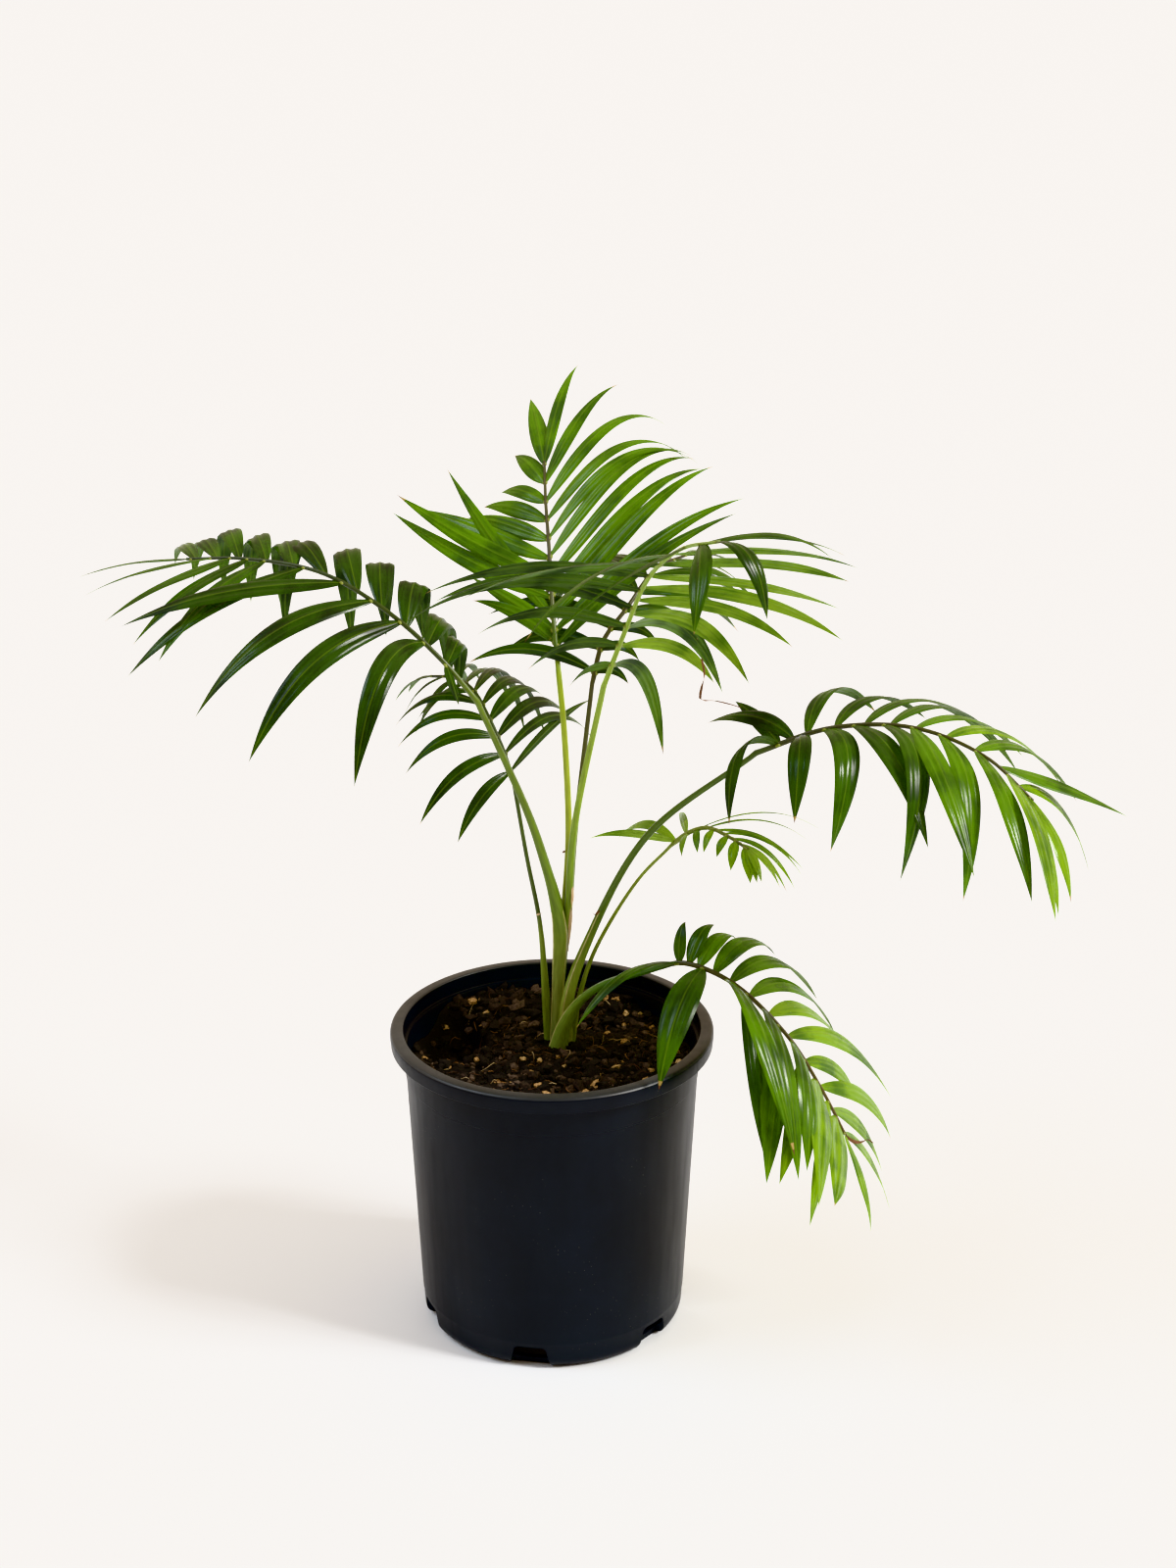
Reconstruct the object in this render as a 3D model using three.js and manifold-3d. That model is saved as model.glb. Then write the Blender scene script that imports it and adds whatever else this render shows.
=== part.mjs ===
import * as THREE from 'three';
import { mergeVertices } from 'three/addons/utils/BufferGeometryUtils.js';
import Module from 'manifold-3d';

const wasm = await Module();
wasm.setup();

// ---------- driving dimensions, in millimetres and degrees ----------
const gap = 0.3; // clearance left between any two touching pieces

// nursery pot
const potHeight = 206;
const rimRadius = 105;
const rimLipHeight = 11;
const rimEdge = 2; // rounding of the rolled rim, outside
const mouthEdge = 1.4; // and inside
const lipChamfer = 1.2;
const mouthRadius = 96.3;
const ledgeHeight = 192; // stacking ledge inside the mouth
const ledgeStep = 2.6;
const ledgeSlope = 1.5; // height over which the ledge steps in
const wallTopRadius = 96;
const wallThickness = 1.7;
const baseRadius = 86.1;
const baseCorner = 9;
const floorThickness = 3;
const footRadius = 77;
const footWidth = 10;
const footRecess = 1;
const sprueRadius = 15; // flat disc left in the middle of the underside
const notchCount = 6;
const notchTurn = -9.5; // first drainage notch, from the front towards +X
const notchBottom = 28;
const notchTop = 20;
const notchHeight = 16.5;
const notchDepth = 9;
const notchSoft = 3; // rounding of its two upper corners
const notchReach = 6; // length of its cutter outside the wall
const potSides = 48;

// potting mix
const soilHeight = 181;
const soilRelief = 1.6;
const soilEdgeDrop = 0.2; // extra clearance that the flat sides of the mesh need
const hollowX = -74; // dip in the mix, near the wall on the left
const hollowY = 36;
const hollowDepth = 5;
const hollowSpread = 16;
const soilSides = 40;
const soilRings = 6;
const crownFlat = 22; // level ground round the stems
const crownBlend = 20;

// where the stems leave the soil
const crownX = 4;
const crownY = 27;

// leaf blades and midribs
const stemSides = 8;
const stemRings = 11;
const crownRings = 7;
const ribSides = 5;
const ribRings = 10;
const ribRadius = [1.75, 0.95];
const leafStations = [0.07, 0.2, 0.36, 0.54, 0.72, 0.88];
const leafFinestThickness = 1.5;
const leafLengthToThickness = 98;
const leafFold = 0.05; // height of the raised midline, as a share of the width
const leafSteps = 24; // steps that the curve of a leaflet is followed in
const leafClear = 0.3;

// eight fronds: heading is the way the midrib runs, counted from +X towards +Y; stem and rib are
// the guide points of the two curves; every list of sizes runs from the first leaflet to the last,
// at is a leaflet's place on the midrib, and extra holds the few leaflets that differ from their row
const fronds = [
  { name: 'left_long', seed: 1, heading: 160, green: 0x2f5a1e, stemGreen: 0x7f9a3a,
    stem: [[2, 29, 181.3], [4, 21, 230], [5, 14, 273], [-7, 12, 325], [-17, 12, 355], [-46, 10, 425]],
    stemRadius: [3.8, 3.9, 5.2, 3.4, 2.7, 2.2, 1.9], cut: 0.37,
    rib: [[-46, 10, 425], [-68, 14, 451], [-101, 26, 478], [-144, 48, 497], [-195, 72, 499], [-234, 88, 494]],
    count: 11,
    right: { at: [0.13, 0.28, 0.45, 0.66, 0.83, 0.97], length: [85, 100, 130, 115, 110, 75],
      spread: [80, 55, 40, 55, 55, 50], lift: [15, 30, 32, 20, 30, 15], droop: [6, 5, 5.5, 5, 4, 1.5],
      sweep: [1, 0, -0.5, 0, 0, 0], sharp: 2, width: [14, 19, 18, 17, 15, 11],
      extra: { 1: { length: 1.2, spread: 10, lift: -10 }, 5: { length: 1.1, spread: -12 } } },
    left: { at: [0.13, 0.3, 0.5, 0.75, 0.86, 0.985], length: [135, 140, 140, 100, 90, 75],
      spread: [75, 65, 40, 65, 50, 20], lift: [40, -15, -25, -15, -5, 15],
      droop: [5, 1.8, 0.5, 1.1, 0.5, 0.4], sweep: 0, sharp: 1.5, width: [15, 17, 15, 14, 14, 12],
      extra: { 0: { length: 0.22, spread: 65, lift: -40, droop: 0.05, width: 0.6 },
        1: { length: 0.95, spread: 4 }, 3: { spread: 6, droop: 1.2 }, 5: { length: 1.1, spread: -5 } } } },
  { name: 'right_long', seed: 2, heading: -12, green: 0x35661f, stemGreen: 0x5c7a32,
    stem: [[9, 26, 181.3], [10, 17, 215], [22, 14, 256], [61, 4, 337], [128, -10, 398]],
    stemRadius: [5.2, 3.8, 3, 2.6, 2.4, 2.1, 1.9], cut: 0.28,
    rib: [[128, -10, 398], [173, -20, 418], [223, -36, 424], [265, -52, 411], [293, -66, 388]],
    count: 11,
    right: { at: [0.08, 0.245, 0.445, 0.63, 0.885, 0.985], length: [80, 100, 120, 115, 105, 70],
      spread: [110, 45, 38, 42, 50, 20], lift: [60, 10, 10, 0, 15, 0], droop: [3.5, 2.2, 2.2, 2, 1.5, 1],
      sweep: [1, -1.2, -1.2, -0.9, -0.3, -0.7], sharp: 1.2, width: [11, 16, 15, 15, 17, 13],
      extra: { 1: { length: 0.85, spread: -5, lift: -15 }, 3: { spread: 5, sweep: 1.2 },
        5: { spread: 15, sweep: 1.3 }, 7: { sweep: 0.4 } } },
    left: { at: [0.085, 0.185, 0.38, 0.55, 0.755, 0.935], length: [65, 100, 130, 115, 125, 110],
      spread: [115, 80, 75, 70, 75, 65], lift: [30, 30, 12, 5, 10, 10],
      droop: [0.3, 2.2, 1.9, 1.5, 1.5, 2], sweep: [0, 1, 1, 0.5, 0.5, 0], sharp: 1.4,
      width: [11, 13, 12, 12, 12, 12],
      extra: { 1: { spread: 20, lift: 8, droop: 0.7, sweep: -1 }, 3: { length: 0.8 },
        5: { length: 1.2, droop: 1.4 }, 7: { length: 1.15 },
        9: { length: 0.85, spread: -25, lift: 5, droop: 0.1 } } } },
  { name: 'low_right', seed: 3, heading: -5, green: 0x4a8427, stemGreen: 0x6f9336,
    stem: [[4, 18, 181.3], [8, 15, 198], [17, 12, 216], [34, 2, 234], [68, -14, 253]],
    stemRadius: [6.2, 4.9, 3.4, 2.8, 2.4, 2.1, 1.9], cut: 0.44,
    rib: [[68, -14, 253], [84, -22, 260], [114, -36, 253], [149, -46, 221], [171, -52, 187], [188, -56, 154]],
    count: 12,
    right: { at: [0.085, 0.3, 0.475, 0.64, 0.84, 0.985], length: [95, 145, 120, 90, 100, 65],
      spread: [95, 78, 80, 75, 78, 10], lift: [35, 10, 10, 5, 0, 0], droop: [2, 3, 3, 2.2, 1.8, 0.4],
      sweep: [-0.5, 0.5, -0.2, -1, -0.7, -1], sharp: 1.1, width: [11, 19, 16, 16, 17, 10],
      extra: { 1: { length: 0.8, lift: -25, width: 1.65 }, 2: { spread: -15 },
        3: { length: 0.9, spread: -8 }, 9: { length: 0.9 }, 10: { length: 0.85, spread: 25, width: 1.6 } } },
    left: { at: [0.09, 0.175, 0.32, 0.53, 0.77, 0.985], length: [30, 50, 125, 115, 95, 100],
      spread: [90, 90, 85, 70, 55, 50], lift: [65, 45, 20, 14, 24, 10], droop: [1, 1.5, 2, 1.2, 1.5, 1.5],
      sweep: [0.2, 0, 0.4, 0.5, -0.5, 0.3], sharp: 1.4, width: [9, 13, 13.5, 13, 12, 11],
      extra: { 7: { length: 1.3 }, 8: { length: 0.8 }, 9: { length: 1.15 } } } },
  { name: 'top', seed: 4, heading: 62, green: 0x4f8a25, stemGreen: 0x8fb043,
    stem: [[5, 33, 181.3], [8, 27, 230], [10, 20.5, 275], [12, 19, 332], [8, 28, 403], [5, 36, 433]],
    stemRadius: [2.8, 2.6, 2.5, 2.3, 2.1, 2, 1.9], cut: 0.36,
    rib: [[5, 36, 433], [2, 50, 461], [0, 68, 483], [-2, 92, 506], [-4, 116, 525], [-5, 142, 544]],
    count: 11,
    right: { at: [0.12, 0.25, 0.425, 0.6, 0.785, 0.985], length: [150, 145, 140, 125, 115, 90],
      spread: [50, 50, 45, 42, 35, 12], lift: [0, -5, 0, 8, 8, 5], droop: [0.1, 1, 1.4, 0.9, 1, 0.2],
      sweep: [-0.4, 0.4, 0.4, -0.5, -0.3, -0.6], sharp: 2, width: [10, 12, 12, 10.5, 10.5, 9],
      extra: { 1: { spread: 4 }, 7: { spread: 6, droop: 1.2 },
        9: { length: 0.92, spread: 2, droop: 0.6 } } },
    left: { at: [0.135, 0.24, 0.415, 0.595, 0.785, 0.985], length: [65, 130, 120, 70, 45, 70],
      spread: [40, 35, 62, 55, 50, 9], lift: [5, 5, 15, 5, 8, 5], droop: [0, 0, 0, 0.8, 1.6, 0.6],
      sweep: [-0.6, 0.4, 0.3, 0.5, 0.8, 0.4], sharp: 1.5, width: [9, 11, 13, 13, 12, 12],
      extra: { 1: { length: 0.7, spread: 10 }, 3: { spread: 12 }, 5: { length: 1.12 },
        9: { length: 0.8 } } } },
  { name: 'right_light', seed: 5, heading: -62, green: 0x5b9a2b, stemGreen: 0x94b548,
    stem: [[8, 21, 181.3], [11, 15, 230], [13, 11, 277], [16, 9.5, 340], [33, -8, 441]],
    stemRadius: [2.6, 2.6, 2.6, 2.5, 2.2, 2, 1.9], cut: 0.36,
    rib: [[33, -8, 441], [45, -30, 482], [59, -64, 528], [77, -104, 558], [97, -140, 573]],
    count: 11,
    right: { at: [0.1, 0.985], length: [35, 100, 145, 130, 110, 65], spread: [75, 80, 85, 95, 80, -10],
      lift: [0, 25, 25, 12, -10, 8], droop: [1.3, 1.2, 0.9, 0.6, 0.5, 2.6],
      sweep: [0, 0.5, 0, 0.5, 0, -0.7], sharp: 1.4, width: [8, 13, 15, 14, 14, 13],
      extra: { 3: { lift: 10 }, 7: { spread: -10, droop: 2 }, 9: { length: 0.8, lift: -25 } } },
    left: { at: [0.095, 0.27, 0.405, 0.54, 0.72, 0.9], length: [125, 145, 115, 130, 120, 80],
      spread: [110, 110, 95, 90, 72, 40], lift: [28, 24, -7, -12, -6, 10],
      droop: [3, 2, 0.9, 0.3, 0.4, 0.8], sweep: [-0.4, 0.2, 0, -0.2, -0.3, -0.6], sharp: 1.4,
      width: [9.5, 12, 13, 14, 14, 12],
      extra: { 1: { length: 0.65, spread: -20, lift: -20, droop: 0.6 }, 3: { spread: 10 },
        5: { length: 1.2 } } } },
  { name: 'middle_dark', seed: 6, heading: 60, green: 0x28501b, stemGreen: 0x5d5a2c,
    stem: [[12, 28, 181.3], [15, 24, 230], [17.5, 19, 275], [18, 22, 330], [26, 34, 428]],
    stemRadius: [2.6, 2.4, 2.2, 2, 1.8, 1.6, 1.5], cut: 0.36,
    rib: [[26, 34, 428], [33, 42, 454], [48, 54, 472], [66, 78, 490], [87, 110, 490]],
    count: 9,
    right: { at: [0.06, 0.985], length: [30, 38, 75, 75, 50], spread: [60, 56, 62, 50, 15],
      lift: [20, 18, 8, 2, 0], droop: [1.5, 1.5, 1.6, 1.4, 0.8], sweep: 0, sharp: 1.4,
      width: [6, 8, 10, 10, 8] },
    left: { at: [0.06, 0.295, 0.53, 0.725, 0.985], length: [85, 90, 125, 110, 55],
      spread: [70, 85, 55, 75, 15], lift: [35, 18, 2, -2, 0], droop: [0.8, 0.8, 1.9, 0.7, 0.8],
      sweep: [-0.3, -0.5, -0.7, -0.4, 0], sharp: 1.4, width: [8, 10, 12, 11, 8],
      extra: { 1: { length: 0.8, lift: -20 }, 5: { length: 1.1, spread: -10, droop: 1.4 } } } },
  { name: 'left_back', seed: 7, heading: 140, green: 0x2b561f, stemGreen: 0x6c8440,
    stem: [[-3, 30, 181.3], [-5, 24, 230], [-8, 22, 270], [-16, 26, 313], [-24, 34, 360]],
    stemRadius: [2.6, 2.7, 2, 1.6, 1.5, 1.4, 1.4], cut: 0.3,
    rib: [[-24, 34, 360], [-31, 40, 381], [-40, 50, 399], [-50, 66, 412], [-63, 86, 414], [-80, 104, 409]],
    count: 10,
    right: { at: [0.07, 0.985], length: [112, 100, 130, 90, 45], spread: [70, 60, 48, 52, 16],
      lift: [-5, 8, 8, 10, 0], droop: [0.4, 1.6, 3, 1.2, 1], sweep: 0, sharp: 1.4,
      width: [6, 9.5, 8.5, 8, 7],
      extra: { 1: { length: 1.15, droop: 1.6 }, 3: { length: 0.75, droop: 0.6 }, 5: { length: 1.15 },
        8: { length: 1.2, spread: 25 } } },
    left: { at: [0.07, 0.985], length: [60, 70, 65, 42, 38], spread: [100, 55, 50, 72, 15],
      lift: [-12, -15, -2, -25, 0], droop: [1.5, 2, 2.2, 2.4, 1.5], sweep: [0, 0.2, 0.3, -0.3, 0],
      sharp: 1.4, width: [9, 8, 8, 8, 7], extra: { 1: { length: 1.2 }, 5: { length: 0.8 } } } },
  { name: 'right_small', seed: 8, heading: -35, green: 0x69993c, stemGreen: 0x97a64e,
    stem: [[13, 25, 181.3], [18, 19, 218], [28, 22.5, 249], [56, 36, 293], [77, 42, 314]],
    stemRadius: [2, 1.8, 1.5, 1.4, 1.3, 1.2, 1.2], cut: 0.33,
    rib: [[77, 42, 314], [88, 42, 323], [100, 34, 330], [112, 18, 331], [125, 0, 329]],
    count: 9,
    right: { at: [0.065, 0.295, 0.7, 0.95, 0.985], length: [65, 22, 18, 28, 28],
      spread: [115, 65, 68, 28, 12], lift: [45, -8, 3, -5, 0], droop: [0.7, 2, 2.4, 1.9, 1.6],
      sweep: [0.4, 0.5, 0, 0, 0], sharp: 1.3, width: [6, 5.5, 6, 8, 6],
      extra: { 1: { length: 0.6, lift: -20 } } },
    left: { at: [0.065, 0.985], length: [78, 90, 65, 56, 34], spread: [102, 45, 32, 36, 20],
      lift: [55, 2, 15, 12, 0], droop: [1.4, 1, 1.3, 2.2, 2], sweep: 0, sharp: 1.3,
      width: [7, 5.5, 5.5, 5.5, 5.5],
      extra: { 1: { length: 0.7, spread: 25, droop: 0.5 }, 3: { length: 0.95, spread: 15, lift: -5 },
        5: { spread: 15 } } } },
];

// how much one leaflet differs from the next
const vary = { length: 0.02, spread: 2, lift: 2, droop: 0.05, twist: 12, width: 0.05 };

// small turns that are tried in this order when a leaflet would touch another piece
const dodges = [[0, 0], [5, 0], [-5, 0], [0, 5], [0, -5], [9, 0], [-9, 0], [0, 9], [0, -9], [9, 9], [-9, -9],
  [14, 0], [-14, 0], [0, 14], [0, -14], [20, 0], [-20, 0], [0, 20], [0, -20]];

// ---------- geometry helpers ----------
const up = new THREE.Vector3(0, 0, 1);
const vec = (p) => new THREE.Vector3(...p);
const radians = THREE.MathUtils.degToRad;
const scatter = (k) => {
  const x = Math.sin(k * 12.9898) * 43758.5453;
  return (x - Math.floor(x)) * 2 - 1;
};

// a value read off a short list whose entries are equally spaced over 0..1
function keyed(list, u) {
  if (!Array.isArray(list)) return list;
  const x = Math.min(Math.max(u, 0), 1) * (list.length - 1);
  const i = Math.min(Math.floor(x), list.length - 2);
  return list[i] + (list[i + 1] - list[i]) * (x - i);
}

function directionAt(curve, u) {
  const a = curve.getPointAt(Math.max(u - 0.001, 0));
  const b = curve.getPointAt(Math.min(u + 0.001, 1));
  return b.sub(a).normalize();
}

function solidFrom(points, triangles) {
  let volume = 0;
  for (const [a, b, c] of triangles) volume += points[a].dot(points[b].clone().cross(points[c]));
  const faces = volume < 0 ? triangles.map(([a, b, c]) => [a, c, b]) : triangles;
  return new wasm.Manifold(new wasm.Mesh({
    numProp: 3,
    vertProperties: new Float32Array(points.flatMap((p) => [p.x, p.y, p.z])),
    triVerts: new Uint32Array(faces.flat()),
  }));
}

function solidFromGeometry(geometry) {
  geometry.deleteAttribute('normal');
  geometry.deleteAttribute('uv');
  const merged = mergeVertices(geometry, 1e-4);
  const at = merged.attributes.position;
  const points = [];
  for (let i = 0; i < at.count; i += 1) points.push(new THREE.Vector3().fromBufferAttribute(at, i));
  const index = merged.index.array;
  const triangles = [];
  for (let i = 0; i < index.length; i += 3) {
    const [a, b, c] = [index[i], index[i + 1], index[i + 2]];
    if (a !== b && b !== c && a !== c) triangles.push([a, b, c]);
  }
  return solidFrom(points, triangles);
}

// rings of equal count joined in turn, closed at each end by a point
function loft(rings, start, end) {
  const n = rings[0].length;
  const points = [...rings.flat(), start, end];
  const first = rings.length * n;
  const triangles = [];
  for (let r = 0; r < rings.length - 1; r += 1) {
    for (let i = 0; i < n; i += 1) {
      const [a, b] = [r * n + i, r * n + ((i + 1) % n)];
      triangles.push([a, b, b + n], [a, b + n, a + n]);
    }
  }
  const last = (rings.length - 1) * n;
  for (let i = 0; i < n; i += 1) {
    triangles.push([first, (i + 1) % n, i], [first + 1, last + i, last + ((i + 1) % n)]);
  }
  return solidFrom(points, triangles);
}

// a round stem that follows part of a curve; each end face is square to the direction given for it
function stemSolid(curve, side, spec) {
  const { from, to, radius, rings, sides, startAt, startAlong, endAt, endAlong } = spec;
  const loops = [];
  const centres = [];
  for (let r = 0; r < rings; r += 1) {
    const u = from + ((to - from) * r) / (rings - 1);
    let centre = curve.getPointAt(u);
    let along = directionAt(curve, u);
    if (r === 0 && startAlong) [centre, along] = [startAt, startAlong];
    if (r === rings - 1 && endAlong) [centre, along] = [endAt, endAlong];
    const across = side.clone().addScaledVector(along, -side.dot(along)).normalize();
    const over = across.clone().cross(along);
    const thick = radius(u);
    const loop = [];
    for (let i = 0; i < sides; i += 1) {
      const turn = (2 * Math.PI * i) / sides;
      loop.push(centre.clone()
        .addScaledVector(across, Math.cos(turn) * thick)
        .addScaledVector(over, Math.sin(turn) * thick));
    }
    loops.push(loop);
    centres.push(centre);
  }
  return loft(loops, centres[0], centres[rings - 1]);
}

// ---------- leaflets ----------
// half-width along a leaflet, 1 at its widest
const bladeShape = (s) => ((s + 0.02) ** 0.75 * (1 - s) ** 1.1) / 0.2967;

// the centre line of a leaflet leaves the midrib at its spread and lift, bends down by its droop as
// it goes, and forward along the midrib by its sweep
function leafLine(root, along, across, over, side, leaf) {
  const [a, l] = [radians(leaf.spread), radians(leaf.lift)];
  const outward = across.clone().multiplyScalar(side * Math.cos(l)).addScaledVector(over, Math.sin(l));
  const heading = along.clone().multiplyScalar(Math.cos(a)).addScaledVector(outward, Math.sin(a));
  const breadth = along.clone().multiplyScalar(-Math.sin(a)).addScaledVector(outward, Math.cos(a));
  const bent = (s) => heading.clone().addScaledVector(up, -leaf.droop * s ** leaf.sharp)
    .addScaledVector(along, leaf.sweep * s).normalize();
  const line = [{ at: root.clone(), width: breadth.clone(), along: heading.clone() }];
  const at = root.clone();
  for (let k = 0; k < leafSteps; k += 1) {
    at.addScaledVector(bent((k + 0.5) / leafSteps), leaf.length / leafSteps);
    const s = (k + 1) / leafSteps;
    const way = bent(s);
    const width = breadth.clone().addScaledVector(way, -breadth.dot(way)).normalize()
      .applyAxisAngle(way, radians(leaf.twist) * s * side);
    line.push({ at: at.clone(), width, along: way });
  }
  return line;
}

function leafSolid(line, leaf) {
  const thick = Math.max(leafFinestThickness, leaf.length / leafLengthToThickness);
  const rings = leafStations.map((s) => {
    const x = s * leafSteps;
    const i = Math.min(Math.floor(x), leafSteps - 1);
    const at = line[i].at.clone().lerp(line[i + 1].at, x - i);
    const width = line[i].width.clone().lerp(line[i + 1].width, x - i).normalize();
    const along = line[i].along.clone().lerp(line[i + 1].along, x - i).normalize();
    const top = width.clone().cross(along).normalize();
    if (top.z < 0) top.negate();
    const half = (bladeShape(s) * leaf.width) / 2;
    const fold = leafFold * half * 2;
    return [
      at.clone().addScaledVector(width, -half),
      at.clone().addScaledVector(top, fold - thick / 2),
      at.clone().addScaledVector(width, half),
      at.clone().addScaledVector(top, fold + thick / 2),
    ];
  });
  for (let r = 1; r < rings.length; r += 1) {
    // keep every ring wound as the one before it, also where the blade turns over
    const across = rings[r][3].clone().sub(rings[r][1]);
    if (across.dot(rings[r - 1][3].clone().sub(rings[r - 1][1])) < 0) {
      [rings[r][1], rings[r][3]] = [rings[r][3], rings[r][1]];
    }
  }
  return loft(rings, line[0].at, line[leafSteps].at);
}

function leavesOf(frond, rib, dodge) {
  const heading = new THREE.Vector3(Math.cos(radians(frond.heading)), Math.sin(radians(frond.heading)), 0);
  const level = heading.clone().cross(up);
  const leaves = [];
  for (const [side, half] of [[1, frond.right], [-1, frond.left]]) {
    for (let i = 0; i < frond.count; i += 1) {
      const u = i / (frond.count - 1);
      const t = keyed(half.at, u);
      const along = directionAt(rib, t);
      const across = level.clone().addScaledVector(along, -level.dot(along)).normalize();
      const over = across.clone().cross(along);
      const k = frond.seed * 100 + i * 2 + (side > 0 ? 0 : 1);
      const extra = half.extra?.[i] ?? {};
      const leaf = {
        length: keyed(half.length, u) * (1 + vary.length * scatter(k)) * (extra.length ?? 1),
        spread: keyed(half.spread, u) + vary.spread * scatter(k + 0.1) + (extra.spread ?? 0),
        lift: keyed(half.lift, u) + vary.lift * scatter(k + 0.2) + (extra.lift ?? 0),
        droop: keyed(half.droop, u) * (1 + vary.droop * scatter(k + 0.3)) * (extra.droop ?? 1),
        sweep: keyed(half.sweep, u) + (extra.sweep ?? 0),
        twist: vary.twist * scatter(k + 0.4),
        width: keyed(half.width, u) * (1 + vary.width * scatter(k + 0.5)) * (extra.width ?? 1),
        sharp: keyed(half.sharp, u),
      };
      const solid = dodge((liftBy, spreadBy) => {
        const turned = { ...leaf, lift: leaf.lift + liftBy, spread: leaf.spread + spreadBy };
        return leafSolid(leafLine(rib.getPointAt(t), along, across, over, side, turned), turned);
      });
      if (solid) leaves.push(solid);
    }
  }
  return leaves;
}

// ---------- pot ----------
function potSolid() {
  const corner = [];
  const arcSteps = 5;
  for (let i = 0; i <= arcSteps; i += 1) {
    const turn = (Math.PI / 2) * (i / arcSteps);
    corner.push([footRadius + (baseRadius - footRadius) * Math.sin(turn), baseCorner * (1 - Math.cos(turn))]);
  }
  const lipBottom = potHeight - rimLipHeight;
  const profile = [
    [0, 0], [sprueRadius, 0], [sprueRadius + footRecess, footRecess],
    [footRadius - footWidth - footRecess, footRecess], [footRadius - footWidth, 0],
    ...corner,
    [wallTopRadius, lipBottom],
    [rimRadius - lipChamfer, lipBottom], [rimRadius, lipBottom + rimEdge], [rimRadius, potHeight - rimEdge],
    [rimRadius - rimEdge, potHeight], [mouthRadius + mouthEdge, potHeight],
    [mouthRadius, potHeight - mouthEdge], [mouthRadius, ledgeHeight],
    [mouthRadius - ledgeStep, ledgeHeight - ledgeSlope],
    [innerRadius(baseCorner), baseCorner + 1], [footRadius - 1, floorThickness], [0, floorThickness],
  ].map(([r, z]) => new THREE.Vector2(r, z));
  const lathe = new THREE.LatheGeometry([...profile, profile[0].clone()], potSides);
  let pot = solidFromGeometry(lathe.rotateX(Math.PI / 2));
  for (let i = 0; i < notchCount; i += 1) {
    pot = pot.subtract(notchSolid(radians(notchTurn + (360 / notchCount) * i - 90)));
  }
  return pot;
}

// radius of the inside of the wall, which tapers evenly from the ledge to the floor
function innerRadius(z) {
  const topZ = ledgeHeight - ledgeSlope;
  const top = mouthRadius - ledgeStep;
  const bottom = baseRadius - wallThickness;
  return bottom + ((top - bottom) * (z - baseCorner)) / (topZ - baseCorner);
}

function notchSolid(turn) {
  const soft = notchSoft;
  const shape = new THREE.Shape();
  shape.moveTo(-notchBottom / 2, -1);
  shape.lineTo(notchBottom / 2, -1);
  shape.lineTo(notchTop / 2 + soft * 0.35, notchHeight - soft);
  shape.quadraticCurveTo(notchTop / 2, notchHeight, notchTop / 2 - soft, notchHeight);
  shape.lineTo(-notchTop / 2 + soft, notchHeight);
  shape.quadraticCurveTo(-notchTop / 2, notchHeight, -notchTop / 2 - soft * 0.35, notchHeight - soft);
  shape.closePath();
  const depth = notchDepth + notchReach;
  const prism = new THREE.ExtrudeGeometry(shape, { depth, bevelEnabled: false, curveSegments: 3 });
  prism.rotateX(Math.PI / 2).rotateZ(Math.PI / 2).translate(baseRadius - notchDepth, 0, 0);
  return solidFromGeometry(prism.rotateZ(turn));
}

// ---------- soil ----------
function soilTop(x, y) {
  const away = Math.hypot(x - crownX, y - crownY);
  const grow = THREE.MathUtils.smoothstep(away, crownFlat, crownFlat + crownBlend);
  const bumps = Math.sin(x * 0.11 + 1.3) * Math.cos(y * 0.13 - 0.4) + 0.5 * Math.sin(x * 0.23 - y * 0.19);
  const hollow = hollowDepth * Math.exp(-((x - hollowX) ** 2 + (y - hollowY) ** 2) / hollowSpread ** 2);
  return soilHeight + grow * (soilRelief * bumps - hollow);
}

function soilSolid() {
  const bottomZ = floorThickness + gap;
  const edge = (z) => innerRadius(z) * Math.cos(Math.PI / potSides) - gap - soilEdgeDrop;
  const rings = [];
  const ringAt = (radius, z) => {
    const loop = [];
    for (let i = 0; i < soilSides; i += 1) {
      const turn = (2 * Math.PI * i) / soilSides;
      const [x, y] = [radius * Math.cos(turn), radius * Math.sin(turn)];
      loop.push(new THREE.Vector3(x, y, z ?? soilTop(x, y)));
    }
    return loop;
  };
  rings.push(ringAt(footRadius - 4, bottomZ));
  rings.push(ringAt(edge(baseCorner) - 1.5, baseCorner + 2));
  rings.push(ringAt(edge(soilHeight) - 0.6));
  for (let r = soilRings - 1; r > 0; r -= 1) rings.push(ringAt(((edge(soilHeight) - 0.6) * r) / soilRings));
  const middle = new THREE.Vector3(0, 0, soilTop(0, 0));
  return loft(rings, new THREE.Vector3(0, 0, bottomZ), middle);
}

// ---------- assembly ----------
const group = new THREE.Group();
group.name = 'potted_parlour_palm';
const placed = [];

function addNode(name, solid, colour, roughness) {
  const mesh = solid.getMesh();
  const geometry = new THREE.BufferGeometry();
  geometry.setAttribute('position', new THREE.Float32BufferAttribute(Array.from(mesh.vertProperties), 3));
  geometry.setIndex(Array.from(mesh.triVerts));
  geometry.computeVertexNormals();
  const node = new THREE.Mesh(geometry, new THREE.MeshStandardMaterial({ color: colour, roughness }));
  node.name = name;
  group.add(node);
}

function touches(solid, others) {
  const box = solid.boundingBox();
  return others.some((other) => {
    const far = [0, 1, 2].some((k) => box.min[k] - leafClear > other.box.max[k]
      || box.max[k] + leafClear < other.box.min[k]);
    return !far && solid.minGap(other.solid, leafClear * 2) < leafClear;
  });
}

const remember = (solid) => placed.push({ solid, box: solid.boundingBox() });
const union = (solids) => wasm.Manifold.union(solids);

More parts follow.
